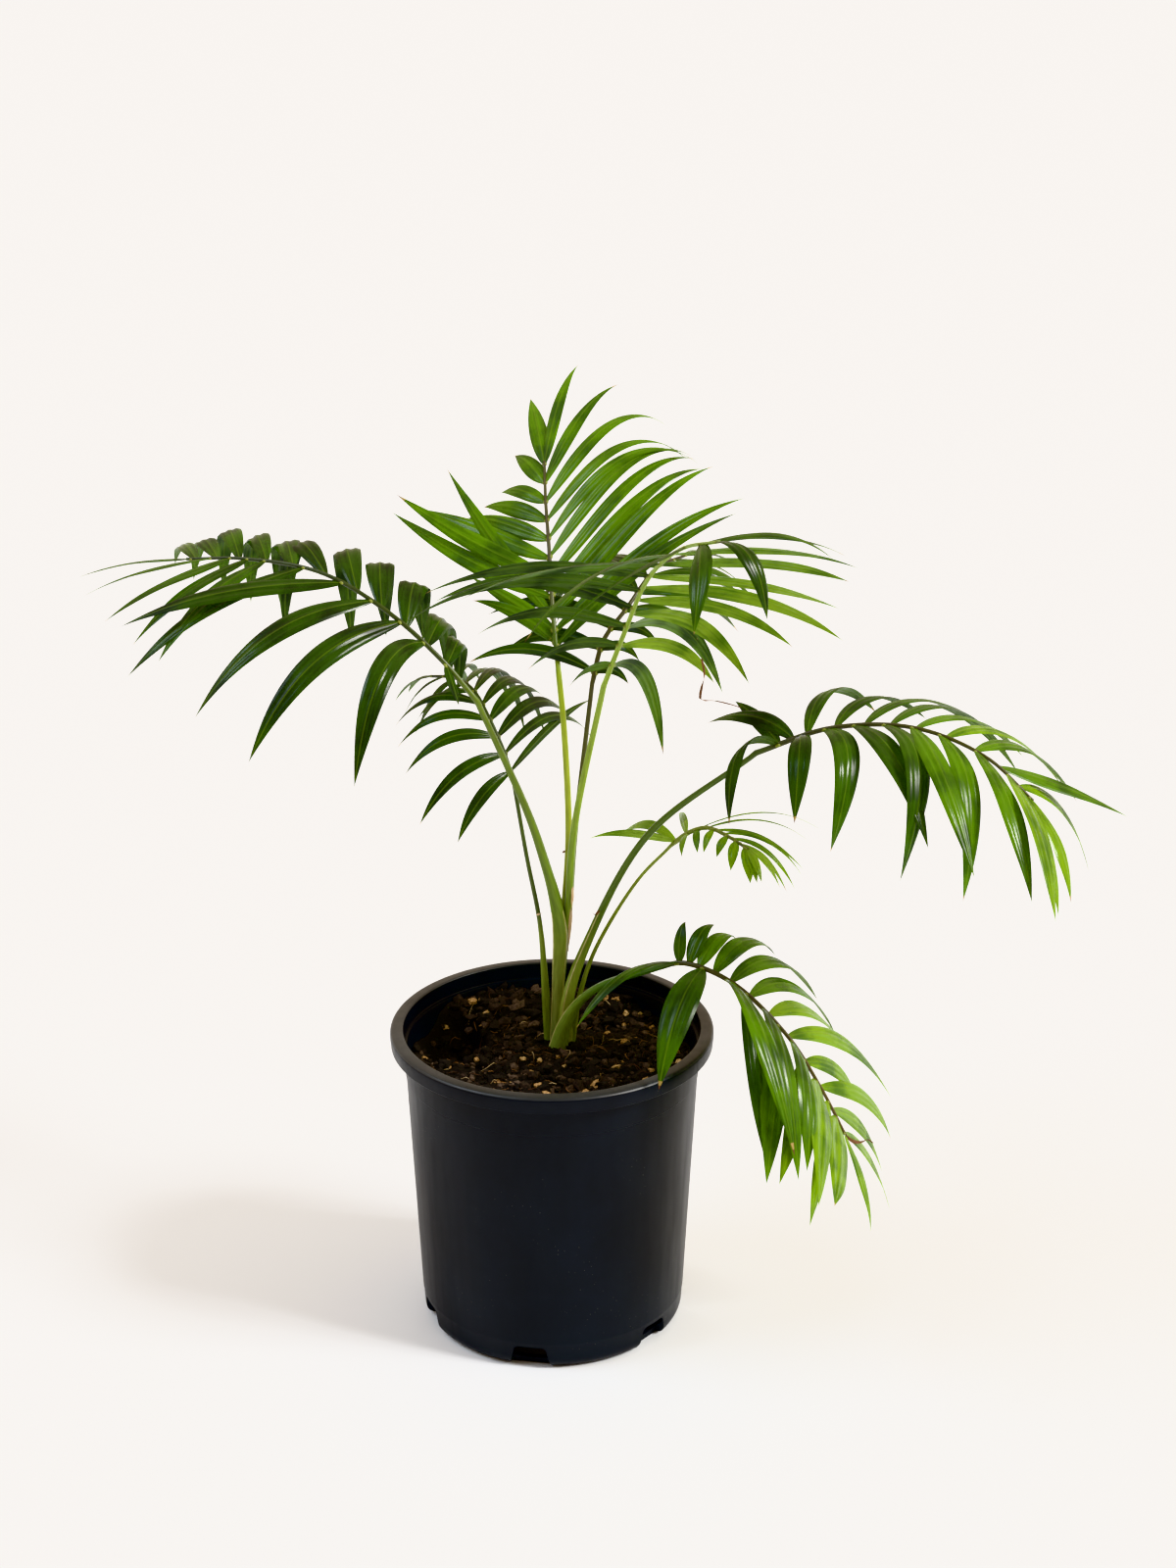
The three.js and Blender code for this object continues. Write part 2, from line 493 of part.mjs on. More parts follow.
const pot = potSolid();
const soil = soilSolid();
remember(pot);
remember(soil);
addNode('pot', pot, 0x15171b, 0.45);
addNode('soil', soil, 0x2a1c12, 1);

// the feet of all the stems make one crown; each stem is cut square to its length and goes on above
const stems = fronds.map((frond) => {
  const curve = new THREE.CatmullRomCurve3(frond.stem.map(vec));
  const rib = new THREE.CatmullRomCurve3(frond.rib.map(vec));
  const heading = new THREE.Vector3(Math.cos(radians(frond.heading)), Math.sin(radians(frond.heading)), 0);
  const side = heading.cross(up);
  const cutAlong = directionAt(curve, frond.cut);
  const joint = directionAt(curve, 1).add(directionAt(rib, 0)).normalize();
  const radius = (u) => keyed(frond.stemRadius, u);
  const cutAt = curve.getPointAt(frond.cut);
  const foot = stemSolid(curve, side, {
    from: 0, to: frond.cut, radius, rings: crownRings, sides: stemSides,
    startAt: curve.getPointAt(0), startAlong: up,
    endAt: cutAt.clone().addScaledVector(cutAlong, -gap / 2), endAlong: cutAlong,
  });
  const stalk = stemSolid(curve, side, {
    from: frond.cut, to: 1, radius, rings: stemRings, sides: stemSides,
    startAt: cutAt.clone().addScaledVector(cutAlong, gap / 2), startAlong: cutAlong,
    endAt: curve.getPointAt(1).addScaledVector(joint, -gap / 2), endAlong: joint,
  });
  const midrib = stemSolid(rib, side, {
    from: 0, to: 1, radius: (u) => keyed(ribRadius, u), rings: ribRings, sides: ribSides,
    startAt: rib.getPointAt(0).addScaledVector(joint, gap / 2), startAlong: joint,
  });
  return { frond, rib, foot, stalk, midrib };
});

const crown = union(stems.map((stem) => stem.foot));
remember(crown);
addNode('crown', crown, 0x8aa14c, 0.6);
for (const stem of stems) remember(stem.stalk);
for (const stem of stems) addNode(`stalk_${stem.frond.name}`, stem.stalk, stem.frond.stemGreen, 0.5);

// every midrib keeps its place, so the leaflets of the other fronds pass round it
const ribs = stems.map((stem) => ({ solid: stem.midrib, box: stem.midrib.boundingBox() }));
for (const [order, stem] of stems.entries()) {
  const others = [...placed, ...ribs.filter((_, i) => i !== order)];
  const leaves = leavesOf(stem.frond, stem.rib, (make) => {
    for (const [liftBy, spreadBy] of dodges) {
      const solid = make(liftBy, spreadBy);
      if (!touches(solid, others)) return solid;
    }
    return null; // no room for this one
  });
  const blade = union([stem.midrib, ...leaves]);
  remember(blade);
  addNode(`frond_${stem.frond.name}`, blade, stem.frond.green, 0.35);
}

export default group;
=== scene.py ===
import math
import random

import bpy
from mathutils import Matrix, Vector, noise


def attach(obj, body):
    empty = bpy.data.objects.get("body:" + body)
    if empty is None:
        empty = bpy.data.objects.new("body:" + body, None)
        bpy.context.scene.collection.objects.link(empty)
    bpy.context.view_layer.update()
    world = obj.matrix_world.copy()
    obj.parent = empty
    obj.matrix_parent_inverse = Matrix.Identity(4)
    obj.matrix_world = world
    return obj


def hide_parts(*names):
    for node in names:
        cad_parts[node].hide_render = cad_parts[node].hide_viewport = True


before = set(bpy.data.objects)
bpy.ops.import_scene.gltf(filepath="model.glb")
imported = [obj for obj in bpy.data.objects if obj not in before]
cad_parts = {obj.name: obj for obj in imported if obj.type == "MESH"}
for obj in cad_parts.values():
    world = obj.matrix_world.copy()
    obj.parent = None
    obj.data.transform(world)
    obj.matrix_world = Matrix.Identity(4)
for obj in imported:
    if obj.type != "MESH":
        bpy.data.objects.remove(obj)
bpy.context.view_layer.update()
bpy.ops.object.select_all(action="DESELECT")

mm = 0.001
up = Vector((0, 0, 1))


# colours are sRGB hex values
def toLinear(hexColour):
    channels = [int(hexColour[i:i + 2], 16) / 255 for i in (1, 3, 5)]
    curved = [c / 12.92 if c <= 0.04045 else ((c + 0.055) / 1.055) ** 2.4 for c in channels]
    return (*curved, 1)


def addNode(tree, kind, inputs=None, stops=None, **settings):
    # an input is a value, or a node or socket to link from; a node stands for its first output;
    # stops are the places and colours of a ramp, each colour a hex value or a grey
    node = tree.nodes.new("ShaderNode" + kind)
    for name, value in settings.items():
        setattr(node, name, value)
    for name, value in (inputs or {}).items():
        if isinstance(value, bpy.types.Node):
            value = value.outputs[0]
        if isinstance(value, bpy.types.NodeSocket):
            tree.links.new(value, node.inputs[name])
        else:
            node.inputs[name].default_value = value
    if stops:
        elements = node.color_ramp.elements
        while len(elements) > 1:
            elements.remove(elements[-1])
        elements[0].position = stops[0][0]
        for i, (place, colour) in enumerate(stops):
            element = elements.new(place) if i else elements[0]
            element.color = toLinear(colour) if isinstance(colour, str) else (colour, colour, colour, 1)
    return node


def newMaterial(name):
    material = bpy.data.materials.new(name)
    material.use_nodes = True
    material.node_tree.nodes.clear()
    return material, material.node_tree


# curves and keyed values, shared by stems and leaflets
def keyed(values, u):
    # a value read off a list of evenly spaced entries, or the value itself
    if not isinstance(values, (list, tuple)):
        return values
    x = min(max(u, 0), 1) * (len(values) - 1)
    i = min(int(x), len(values) - 2)
    return values[i] + (values[i + 1] - values[i]) * (x - i)


def scatter(k):
    # an even spread over -1..1 that is the same for the same number
    x = math.sin(k * 12.9898) * 43758.5453
    return (x - math.floor(x)) * 2 - 1


def square(vector, along):
    # what a vector has at right angles to a direction, at length 1
    return (vector - along * vector.dot(along)).normalized()


class Guide:
    # a smooth curve through a few points, read by its share of the whole length
    divisions = 200

    def __init__(self, points):
        self.points = [Vector(p) for p in points]
        self.lengths = [0.0]
        last = self.raw(0)
        for i in range(1, self.divisions + 1):
            here = self.raw(i / self.divisions)
            self.lengths.append(self.lengths[-1] + (here - last).length)
            last = here
        self.length = self.lengths[-1]

    def raw(self, t):
        # a rounded curve that keeps clear of loops where points are unevenly spaced
        p = self.points
        last = len(p) - 1
        i = min(int(t * last), last - 1)
        w = t * last - i
        before = p[i - 1] if i > 0 else 2 * p[0] - p[1]
        after = p[i + 2] if i + 2 <= last else 2 * p[last] - p[last - 1]
        p0, p1, p2, p3 = before, p[i], p[i + 1], after
        d0, d1, d2 = [max((b - a).length ** 0.5, 1e-4) for a, b in ((p0, p1), (p1, p2), (p2, p3))]
        t1 = ((p1 - p0) / d0 - (p2 - p0) / (d0 + d1) + (p2 - p1) / d1) * d1
        t2 = ((p2 - p1) / d1 - (p3 - p1) / (d1 + d2) + (p3 - p2) / d2) * d1
        return p1 + t1 * w + (3 * (p2 - p1) - 2 * t1 - t2) * w * w + (2 * (p1 - p2) + t1 + t2) * w ** 3

    def at(self, u):
        target = min(max(u, 0), 1) * self.length
        i = 1
        while i < self.divisions and self.lengths[i] < target:
            i += 1
        span = max(self.lengths[i] - self.lengths[i - 1], 1e-9)
        return self.raw((i - 1 + (target - self.lengths[i - 1]) / span) / self.divisions)

    def way(self, u):
        reach = 0.001  # share of the length on each side
        return (self.at(min(u + reach, 1)) - self.at(max(u - reach, 0))).normalized()


# joined meshes made from lists
class Heap:
    # points in millimetres, faces, a finish for each face and a place on the surface for each corner
    def __init__(self):
        self.points = []
        self.faces = []
        self.finishes = []
        self.places = []

    def addFace(self, corners, finish, places):
        self.faces.append(tuple(corners))
        self.finishes.append(finish)
        self.places.append(tuple(places))

    def addRings(self, rings, places, finishAt, tip=None):
        # rings of one size joined in turn and closed at both ends; the last may close on one point
        first = len(self.points)
        size = len(rings[0])
        top = len(rings) - 1
        for ring in rings:
            self.points.extend(ring)
        for r in range(top):
            near, far = places[r], places[r + 1]
            a, b = first + r * size, first + (r + 1) * size
            for i in range(size):
                j = (i + 1) % size
                self.addFace((a + i, a + j, b + j, b + i), finishAt(r, i),
                             (near[i], near[i + 1], far[i + 1], far[i]))
        back = range(size - 1, -1, -1)
        self.addFace((first + i for i in back), finishAt(0, 0), (places[0][i] for i in back))
        last, edge = first + top * size, places[top]
        if tip is None:
            self.addFace((last + i for i in range(size)), finishAt(top, 0), edge[:size])
        else:
            self.points.append(tip)
            end = len(self.points) - 1
            for i in range(size):
                self.addFace((last + i, last + (i + 1) % size, end), finishAt(top, i),
                             (edge[i], edge[i + 1], edge[i]))

    def addCopy(self, shape, matrix, finish):
        first = len(self.points)
        points, faces = shape
        self.points.extend(matrix @ p for p in points)
        for face in faces:
            self.addFace((first + i for i in face), finish, ((points[i].x, points[i].y) for i in face))

    def build(self, name, materials, smoothAngle=40):
        mesh = bpy.data.meshes.new(name)
        mesh.from_pydata([p * mm for p in self.points], [], self.faces)
        for material in materials:
            mesh.materials.append(material)
        mesh.polygons.foreach_set("material_index", self.finishes)
        layer = mesh.uv_layers.new(name="surface")
        flat = [value for corners in self.places for place in corners for value in place]
        layer.data.foreach_set("uv", flat)
        mesh.update()
        piece = bpy.data.objects.new(name, mesh)
        bpy.context.collection.objects.link(piece)
        smooth(piece, smoothAngle)
        return piece


def smooth(piece, degrees):
    bpy.ops.object.select_all(action="DESELECT")
    piece.select_set(True)
    bpy.context.view_layer.objects.active = piece
    bpy.ops.object.shade_smooth_by_angle(angle=math.radians(degrees))
    piece.select_set(False)


# leaf blades: living tissue, waxy above and dull below, ribbed along its length
blade = {
    "along": 34,                 # rings along one leaflet
    "across": 12,                # strips across it
    "thick": 0.5,                # mm at the midline
    "rootWidth": 0.02, "rootCurve": 0.75, "tipCurve": 1.1, "widest": 0.2967,   # how the outline swells
    "fold": 0.16,                # drop of the margins, as a share of half the width
    "foldCurve": 1.4,
    "fade": 0.6,                 # share of fold and thickness that is gone at the tip
    "pleat": 0.045, "pleats": 3,
    "wave": 0.05,
    "waveTurn": 9,               # radians of wave from root to tip
    "dryTip": 0.045,             # the longest dry tip, as a share of the leaflet
    "shadeMix": 0.6,             # how far a leaflet may stray from its neighbours' shade
    "vary": {"length": 0.02, "spread": 2, "lift": 2, "droop": 0.05, "twist": 12, "width": 0.05},
    "ribSpacing": 1.7,           # mm between the ribs, about twice the real spacing so that they show
    "ribRun": 55.0,              # mm that one rib keeps its strength
    "ribDepth": 0.3,             # mm
    "blotch": 26.0,              # mm across the soft light and dark areas
    "tone": (0.6, 0.84),         # where the pattern is at the darker and at the lighter green
    "midrib": "#8aa83a",
    "midribEdge": (0.15, 0.45),  # mm from the middle line, between which the pale midrib fades
    "midribShare": 0.3,
    "gloss": 0.28,               # roughness of the upper side
    "blotchGloss": (0.08, -0.12),  # what the blotches add to it
    "underGloss": 0.12,          # how much rougher the lower side is
    "wax": 0.45,                 # strength of the reflection off the waxy skin
    "through": 0.30,             # share of light that passes through the blade
}

greens = {
    # name: darker, lighter, underside, light seen through; the paler underside is partly the leaf's own
    # paler back and partly painted light coming through the blade
    "deep": ("#122405", "#2c4a10", "#4a6628", "#6a9412"),
    "dark": ("#1a3406", "#3c6012", "#5a7c2a", "#80aa10"),
    "mid": ("#2a4c06", "#568012", "#76982e", "#9cc014"),
    "fresh": ("#3e6608", "#769c1a", "#8cac3a", "#b4d024"),
    "young": ("#547a1a", "#86a836", "#9ab850", "#bcd44e"),
}


# living palm leaf, ribbed tissue under a waxy skin: a streaky sheen, and a glow where light comes through
def leafFinish(name, dark, light, glow, gloss):
    material, tree = newMaterial(name)
    place = addNode(tree, "UVMap", uv_map="surface")
    ribPlace = addNode(tree, "Mapping", {"Scale": (1 / blade["ribSpacing"], 1 / blade["ribRun"], 1),
                       "Vector": place})
    ribs = addNode(tree, "TexNoise", {"Scale": 1, "Detail": 2, "Roughness": 0.6, "Vector": ribPlace})
    spot = addNode(tree, "TexCoord").outputs["Object"]
    blotch = addNode(tree, "TexNoise", {"Scale": 1 / (blade["blotch"] * mm), "Detail": 3, "Vector": spot})
    both = addNode(tree, "Math", {0: ribs, 1: 0.5, 2: blotch}, operation="MULTIPLY_ADD")
    tone = addNode(tree, "ValToRGB", {"Fac": both}, list(zip(blade["tone"], (dark, light))))
    away = addNode(tree, "Math", {0: addNode(tree, "SeparateXYZ", {0: place})}, operation="ABSOLUTE")
    near, far = blade["midribEdge"]
    midrib = addNode(tree, "MapRange", {"From Min": near, "From Max": far, "To Min": blade["midribShare"],
                     "To Max": 0.0, "Value": away})
    colour = addNode(tree, "Mix", {0: midrib, 6: tone, 7: toLinear(blade["midrib"])}, data_type="RGBA")
    dull, shiny = blade["blotchGloss"]
    shine = addNode(tree, "MapRange", {"From Min": 0.35, "From Max": 0.65, "To Min": gloss + dull,
                    "To Max": gloss + shiny, "Value": blotch})
    relief = addNode(tree, "Bump", {"Strength": 0.5, "Distance": blade["ribDepth"] * mm, "Height": ribs})
    skin = addNode(tree, "BsdfPrincipled", {"IOR": 1.45, "Specular IOR Level": blade["wax"],
                   "Base Color": colour.outputs[2], "Roughness": shine, "Normal": relief})
    inner = addNode(tree, "BsdfTranslucent", {"Color": toLinear(glow), "Normal": relief})
    mix = addNode(tree, "MixShader", {0: blade["through"], 1: skin, 2: inner})
    addNode(tree, "OutputMaterial", {0: mix})
    return material


# dry or woody plant matter: dull, with fine streaks that run along it; grain is their width in mm
def plantFinish(name, dark, light, rough, grain):
    material, tree = newMaterial(name)
    place = addNode(tree, "UVMap", uv_map="surface")
    along = addNode(tree, "Mapping", {"Scale": (1 / grain, 0.12 / grain, 1), "Vector": place})
    streaks = addNode(tree, "TexNoise", {"Scale": 1, "Detail": 3, "Vector": along})
    tone = addNode(tree, "ValToRGB", {"Fac": streaks}, [(0.32, dark), (0.68, light)])
    relief = addNode(tree, "Bump", {"Strength": 0.4, "Distance": 0.3 * mm, "Height": streaks})
    skin = addNode(tree, "BsdfPrincipled", {"Roughness": rough, "Base Color": tone, "Normal": relief})
    addNode(tree, "OutputMaterial", {0: skin})
    return material


leafMaterials = []
leafSlots = {}
for greenName, (dark, light, under, glow) in greens.items():
    leafSlots[greenName] = len(leafMaterials)
    leafMaterials.append(leafFinish(f"{greenName}LeafUpper", dark, light, glow, blade["gloss"]))
    lowerGloss = blade["gloss"] + blade["underGloss"]
    # the lower side takes the paler underside green, partly painted light coming through
    leafMaterials.append(leafFinish(f"{greenName}LeafUnder", dark, under, glow, lowerGloss))
tanSlot = len(leafMaterials)
leafMaterials.append(plantFinish("tanLeafTip", "#7d6a34", "#a08c50", 0.6, 0.8))
brownSlot = len(leafMaterials)
leafMaterials.append(plantFinish("brownLeafTip", "#3d2312", "#6b4423", 0.7, 0.7))


# the eight fronds: sizes in millimetres, angles in degrees
# heading runs from +X towards +Y; every list runs from the first leaflet to the last, at is a
# leaflet's place on the midrib, and extra holds the few leaflets that differ from their row;
# the three inner stalks are drawn together low down, inside the sheath of the long left one
# shades names the greens from the crown outwards; most run from darker to paler, which is painted shade
# near the crown and painted light through the outer leaflets
fronds = {
    "leftLong": {
        "node": "left_long", "seed": 1, "heading": 160,
        "stem": [(2, 29, 181.3), (4, 21, 230), (5, 14, 273), (-7, 12, 325), (-17, 12, 355),
            (-46, 10, 425)],
        "stemRadius": [3.8, 3.9, 5.2, 3.4, 2.7, 2.2, 1.9],
        "rib": [(-46, 10, 425), (-68, 14, 451), (-101, 26, 478), (-144, 48, 497), (-195, 72, 499),
            (-234, 88, 494)],
        "count": 11, "shades": ["deep", "deep", "dark", "dark"],
        # the pale stops at the foot are partly the pale sheath and partly painted light, lightened against
        # the shade inside the pot
        "stemColours": [(0.0, "#aebc80"), (0.1, "#a6b56c"), (0.2, "#6f8a2a"), (0.27, "#647e1e"),
            (0.5, "#667c26"), (0.58, "#3c4a1c"), (1.0, "#31401a")],
        "margins": [1.9, 3.8],
        "right": {
            "at": [0.13, 0.28, 0.45, 0.66, 0.83, 0.97], "length": [85, 100, 130, 115, 110, 75],
            "spread": [80, 55, 40, 55, 55, 50], "lift": [15, 30, 32, 20, 30, 15],
            "droop": [6, 5, 5.5, 5, 4, 1.5], "sweep": [1, 0, -0.5, 0, 0, 0], "sharp": 2,
            "width": [14, 19, 18, 17, 15, 11],
            "extra": {1: {"length": 1.2, "spread": 10, "lift": -10}, 5: {"length": 1.1, "spread": -12}},
        },
        "left": {
            "at": [0.13, 0.3, 0.5, 0.75, 0.86, 0.985], "length": [135, 140, 140, 100, 90, 75],
            "spread": [75, 65, 40, 65, 50, 20], "lift": [40, -15, -25, -15, -5, 15],
            "droop": [5, 1.8, 0.5, 1.1, 0.5, 0.4], "sweep": 0, "sharp": 1.5,
            "width": [15, 17, 15, 14, 14, 12],
            "extra": {0: {"length": 0.22, "spread": 65, "lift": -40, "droop": 0.05, "width": 0.6},
                1: {"length": 0.95, "spread": 4}, 3: {"spread": 6, "droop": 1.2},
                5: {"length": 1.1, "spread": -5}},
        },
    },
    "rightLong": {
        "node": "right_long", "seed": 2, "heading": -12,
        "stem": [(9, 26, 181.3), (10, 17, 215), (22, 14, 256), (61, 4, 337), (128, -10, 398)],
        "stemRadius": [5.2, 3.8, 3, 2.6, 2.4, 2.1, 1.9],
        "rib": [(128, -10, 398), (173, -20, 418), (223, -36, 424), (265, -52, 411), (293, -66, 388)],
        "count": 11, "shades": ["deep", "dark", "mid", "fresh"],
        # the pale stops at the foot are partly the pale sheath and partly painted light on the foot inside
        # the pot
        "stemColours": [(0.0, "#b4c070"), (0.1, "#98ad54"), (0.2, "#58731f"), (0.3, "#4d671b"),
            (0.48, "#4c6420"), (0.55, "#43451f"), (1.0, "#4a4a20")],
        "margins": [0.3, 3.0],
        "right": {
            "at": [0.08, 0.245, 0.445, 0.63, 0.885, 0.985], "length": [80, 100, 120, 115, 105, 70],
            "spread": [110, 45, 38, 42, 50, 20], "lift": [60, 10, 10, 0, 15, 0],
            "droop": [3.5, 2.2, 2.2, 2, 1.5, 1], "sweep": [1, -1.2, -1.2, -0.9, -0.3, -0.7], "sharp": 1.2,
            "width": [12, 18, 17.5, 17, 18, 14],
            "extra": {1: {"length": 0.85, "spread": -5, "lift": -15}, 3: {"spread": 5, "sweep": 1.2},
                5: {"spread": 15, "sweep": 1.3}, 7: {"sweep": 0.4}},
        },
        "left": {
            "at": [0.085, 0.185, 0.38, 0.55, 0.755, 0.935], "length": [65, 100, 130, 115, 125, 110],
            "spread": [115, 80, 75, 70, 75, 65], "lift": [30, 30, 12, 5, 10, 10],
            "droop": [0.3, 2.2, 1.9, 1.5, 1.5, 2], "sweep": [0, 1, 1, 0.5, 0.5, 0], "sharp": 1.4,
            "width": [11, 13, 12, 12, 12, 12],
            "extra": {1: {"spread": 20, "lift": 8, "droop": 0.7, "sweep": -1}, 3: {"length": 0.8},
                5: {"length": 1.2, "droop": 1.4}, 7: {"length": 1.15},
                9: {"length": 0.85, "spread": -25, "lift": 5, "droop": 0.1}},
        },
    },
    "lowRight": {
        "node": "low_right", "seed": 3, "heading": -5,
        "stem": [(4, 18, 181.3), (8, 15, 198), (17, 12, 216), (34, 2, 234), (68, -14, 253)],
        "stemRadius": [6.2, 4.9, 3.4, 2.8, 2.4, 2.1, 1.9],
        "rib": [(68, -14, 253), (84, -22, 260), (114, -36, 253), (149, -46, 221), (171, -52, 187),
            (188, -56, 154)],
        "count": 12, "shades": ["dark", "mid", "fresh", "fresh"],
        "stemColours": [(0.0, "#93aa60"), (0.15, "#84a048"), (0.3, "#4f7a26"), (0.5, "#3f6620"),
            (0.55, "#4a4a20"), (1.0, "#5c4d24")],
        "margins": [1.2, 3.4],
        "right": {
            "at": [0.085, 0.3, 0.475, 0.64, 0.84, 0.985], "length": [95, 145, 120, 90, 100, 65],
            "spread": [95, 78, 80, 75, 78, 10], "lift": [35, 10, 10, 5, 0, 0],
            "droop": [2, 3, 3, 2.2, 1.8, 0.4], "sweep": [-0.5, 0.5, -0.2, -1, -0.7, -1],
            "sharp": [1.6, 1.3, 1.1, 1.1, 1.1, 1.1], "width": [11, 18, 20, 20, 22, 13],
            "extra": {1: {"length": 0.8, "lift": -25, "width": 1.4}, 2: {"spread": -15, "lift": 14},
                3: {"length": 0.9, "spread": -8, "lift": -6}, 4: {"lift": 12}, 5: {"lift": -8},
                6: {"lift": 14}, 7: {"lift": -6}, 8: {"lift": 8, "width": 1.45},
                9: {"length": 0.9, "lift": -6}, 10: {"length": 0.85, "spread": 25, "width": 1.95}},
        },
        "left": {
            "at": [0.09, 0.175, 0.32, 0.53, 0.77, 0.985], "length": [30, 50, 125, 115, 95, 100],
            "spread": [90, 90, 85, 70, 55, 50], "lift": [65, 45, 20, 14, 24, 10],
            "droop": [1, 1.5, 2, 1.2, 1.5, 1.5], "sweep": [0.2, 0, 0.4, 0.5, -0.5, 0.3], "sharp": 1.4,
            "width": [9, 13, 13.5, 13, 12, 11],
            "extra": {7: {"length": 1.3}, 8: {"length": 0.8}, 9: {"length": 1.15}},
        },
    },
    "top": {
        "node": "top", "seed": 4, "heading": 62,
        "stem": [(2, 31, 181.3), (5, 26, 230), (8, 20.5, 275), (11, 19, 332), (8, 28, 403), (5, 36, 433)],
        "stemRadius": [2.8, 2.6, 2.5, 2.3, 2.1, 2, 1.9],
        "rib": [(5, 36, 433), (2, 50, 461), (0, 68, 483), (-2, 92, 506), (-4, 116, 525), (-5, 142, 544)],
        "count": 11, "shades": ["mid", "mid", "mid", "mid"],
        "stemColours": [(0.0, "#8aa04a"), (0.3, "#a4b23a"), (0.48, "#9cb036"), (0.56, "#57702a"),
            (0.7, "#43401c"), (1.0, "#4a4a22")],
        "margins": [],
        "right": {
            "at": [0.12, 0.25, 0.425, 0.6, 0.785, 0.985], "length": [150, 145, 140, 125, 115, 90],
            "spread": [50, 50, 45, 42, 35, 12], "lift": [0, -5, 0, 8, 8, 5],
            "droop": [0.1, 1, 1.4, 0.9, 1, 0.2], "sweep": [-0.4, 0.4, 0.4, -0.5, -0.3, -0.6], "sharp": 2,
            "width": [9.5, 10.5, 10.5, 9.5, 10, 9],
            "extra": {1: {"spread": 4}, 7: {"spread": 6, "droop": 1.2},
                9: {"length": 0.92, "spread": 2, "droop": 0.6}},
        },
        "left": {
            "at": [0.135, 0.24, 0.415, 0.595, 0.785, 0.985], "length": [65, 130, 120, 70, 45, 70],
            "spread": [40, 35, 62, 55, 50, 9], "lift": [5, 5, 15, 5, 8, 5],
            "droop": [0, 0, 0, 0.8, 1.6, 0.6], "sweep": [-0.6, 0.4, 0.3, 0.5, 0.8, 0.4], "sharp": 1.5,
            "width": [9, 11, 13, 13, 12, 12],
            "extra": {1: {"length": 0.7, "spread": 10}, 3: {"spread": 12}, 5: {"length": 1.12},
                9: {"length": 0.8}},
        },
    },
    "rightLight": {
        "node": "right_light", "seed": 5, "heading": -62,
        "stem": [(3, 27, 181.3), (6, 24, 230), (10.5, 16, 276), (14.5, 9.5, 338), (33, -8, 441)],
        "stemRadius": [2.6, 2.6, 2.6, 2.5, 2.2, 2, 1.9],
        "rib": [(33, -8, 441), (45, -30, 482), (59, -64, 528), (77, -104, 558), (97, -140, 573)],
        "count": 11, "shades": ["mid", "fresh", "mid", "dark"],
        "stemColours": [(0.0, "#8aa04a"), (0.25, "#7d9a2e"), (0.4, "#8aa430"), (0.6, "#8fac3c"),
            (1.0, "#8aa648")],
        "margins": [],
        "right": {
            "at": [0.1, 0.985], "length": [35, 100, 145, 130, 110, 65],
            "spread": [75, 80, 85, 95, 80, -10], "lift": [0, 25, 25, 12, -10, 8],
            "droop": [1.3, 1.2, 0.9, 0.6, 0.5, 2.6], "sweep": [0, 0.5, 0, 0.5, 0, -0.7], "sharp": 1.4,
            "width": [8, 13, 15, 14, 14, 13],
            "extra": {3: {"lift": 10}, 7: {"spread": -10, "droop": 2}, 9: {"length": 0.8, "lift": -25}},
            # the darker greens of this half are painted shade on this side of the frond
            "shades": ["dark", "deep", "dark", "deep"],
        },
        "left": {
            "at": [0.095, 0.27, 0.405, 0.54, 0.72, 0.9], "length": [125, 145, 115, 130, 120, 80],
            "spread": [110, 110, 95, 90, 72, 40], "lift": [28, 24, -7, -12, -6, 10],
            "droop": [3, 2, 0.9, 0.3, 0.4, 0.8], "sweep": [-0.4, 0.2, 0, -0.2, -0.3, -0.6], "sharp": 1.4,
            "width": [9.5, 12, 13, 14, 14, 12],
            "extra": {1: {"length": 0.65, "spread": -20, "lift": -20, "droop": 0.6}, 3: {"spread": 10},
                5: {"length": 1.2}},
            # the mostly paler greens of this half are painted light, seen through its leaflets from beneath
            "shades": ["dark", "fresh", "mid", "dark"],
        },
    },
    "middleDark": {
        "node": "middle_dark", "seed": 6, "heading": 60,
        "stem": [(4, 30, 181.3), (6, 27, 230), (11, 22, 275), (15, 22, 330), (26, 34, 428)],
        "stemRadius": [2.6, 2.4, 2.2, 2, 1.8, 1.6, 1.5],
        "rib": [(26, 34, 428), (33, 42, 454), (48, 54, 472), (66, 78, 490), (87, 110, 490)], "count": 9,
        "shades": ["deep", "deep", "dark", "dark"],
        "stemColours": [(0.0, "#7d8a46"), (0.25, "#5f6630"), (0.5, "#4c4a24"), (1.0, "#3a3a1c")],
        "margins": [],
        "right": {
            "at": [0.06, 0.985], "length": [30, 38, 75, 75, 50], "spread": [60, 56, 62, 50, 15],
            "lift": [20, 18, 8, 2, 0], "droop": [1.5, 1.5, 1.6, 1.4, 0.8], "sweep": 0, "sharp": 1.4,
            "width": [6, 8, 10, 10, 8],
        },
        "left": {
            "at": [0.06, 0.295, 0.53, 0.725, 0.985], "length": [85, 90, 125, 110, 55],
            "spread": [70, 85, 55, 75, 15], "lift": [35, 18, 2, -2, 0],
            "droop": [0.8, 0.8, 1.9, 0.7, 0.8], "sweep": [-0.3, -0.5, -0.7, -0.4, 0], "sharp": 1.4,
            "width": [8, 10, 12, 11, 8],
            "extra": {1: {"length": 0.8, "lift": -20}, 5: {"length": 1.1, "spread": -10, "droop": 1.4}},
        },
    },
    "leftBack": {
        "node": "left_back", "seed": 7, "heading": 140,
        "stem": [(-3, 30, 181.3), (-5, 24, 230), (-8, 22, 270), (-16, 26, 313), (-24, 34, 360)],
        "stemRadius": [2.6, 2.7, 2, 1.6, 1.5, 1.4, 1.4],
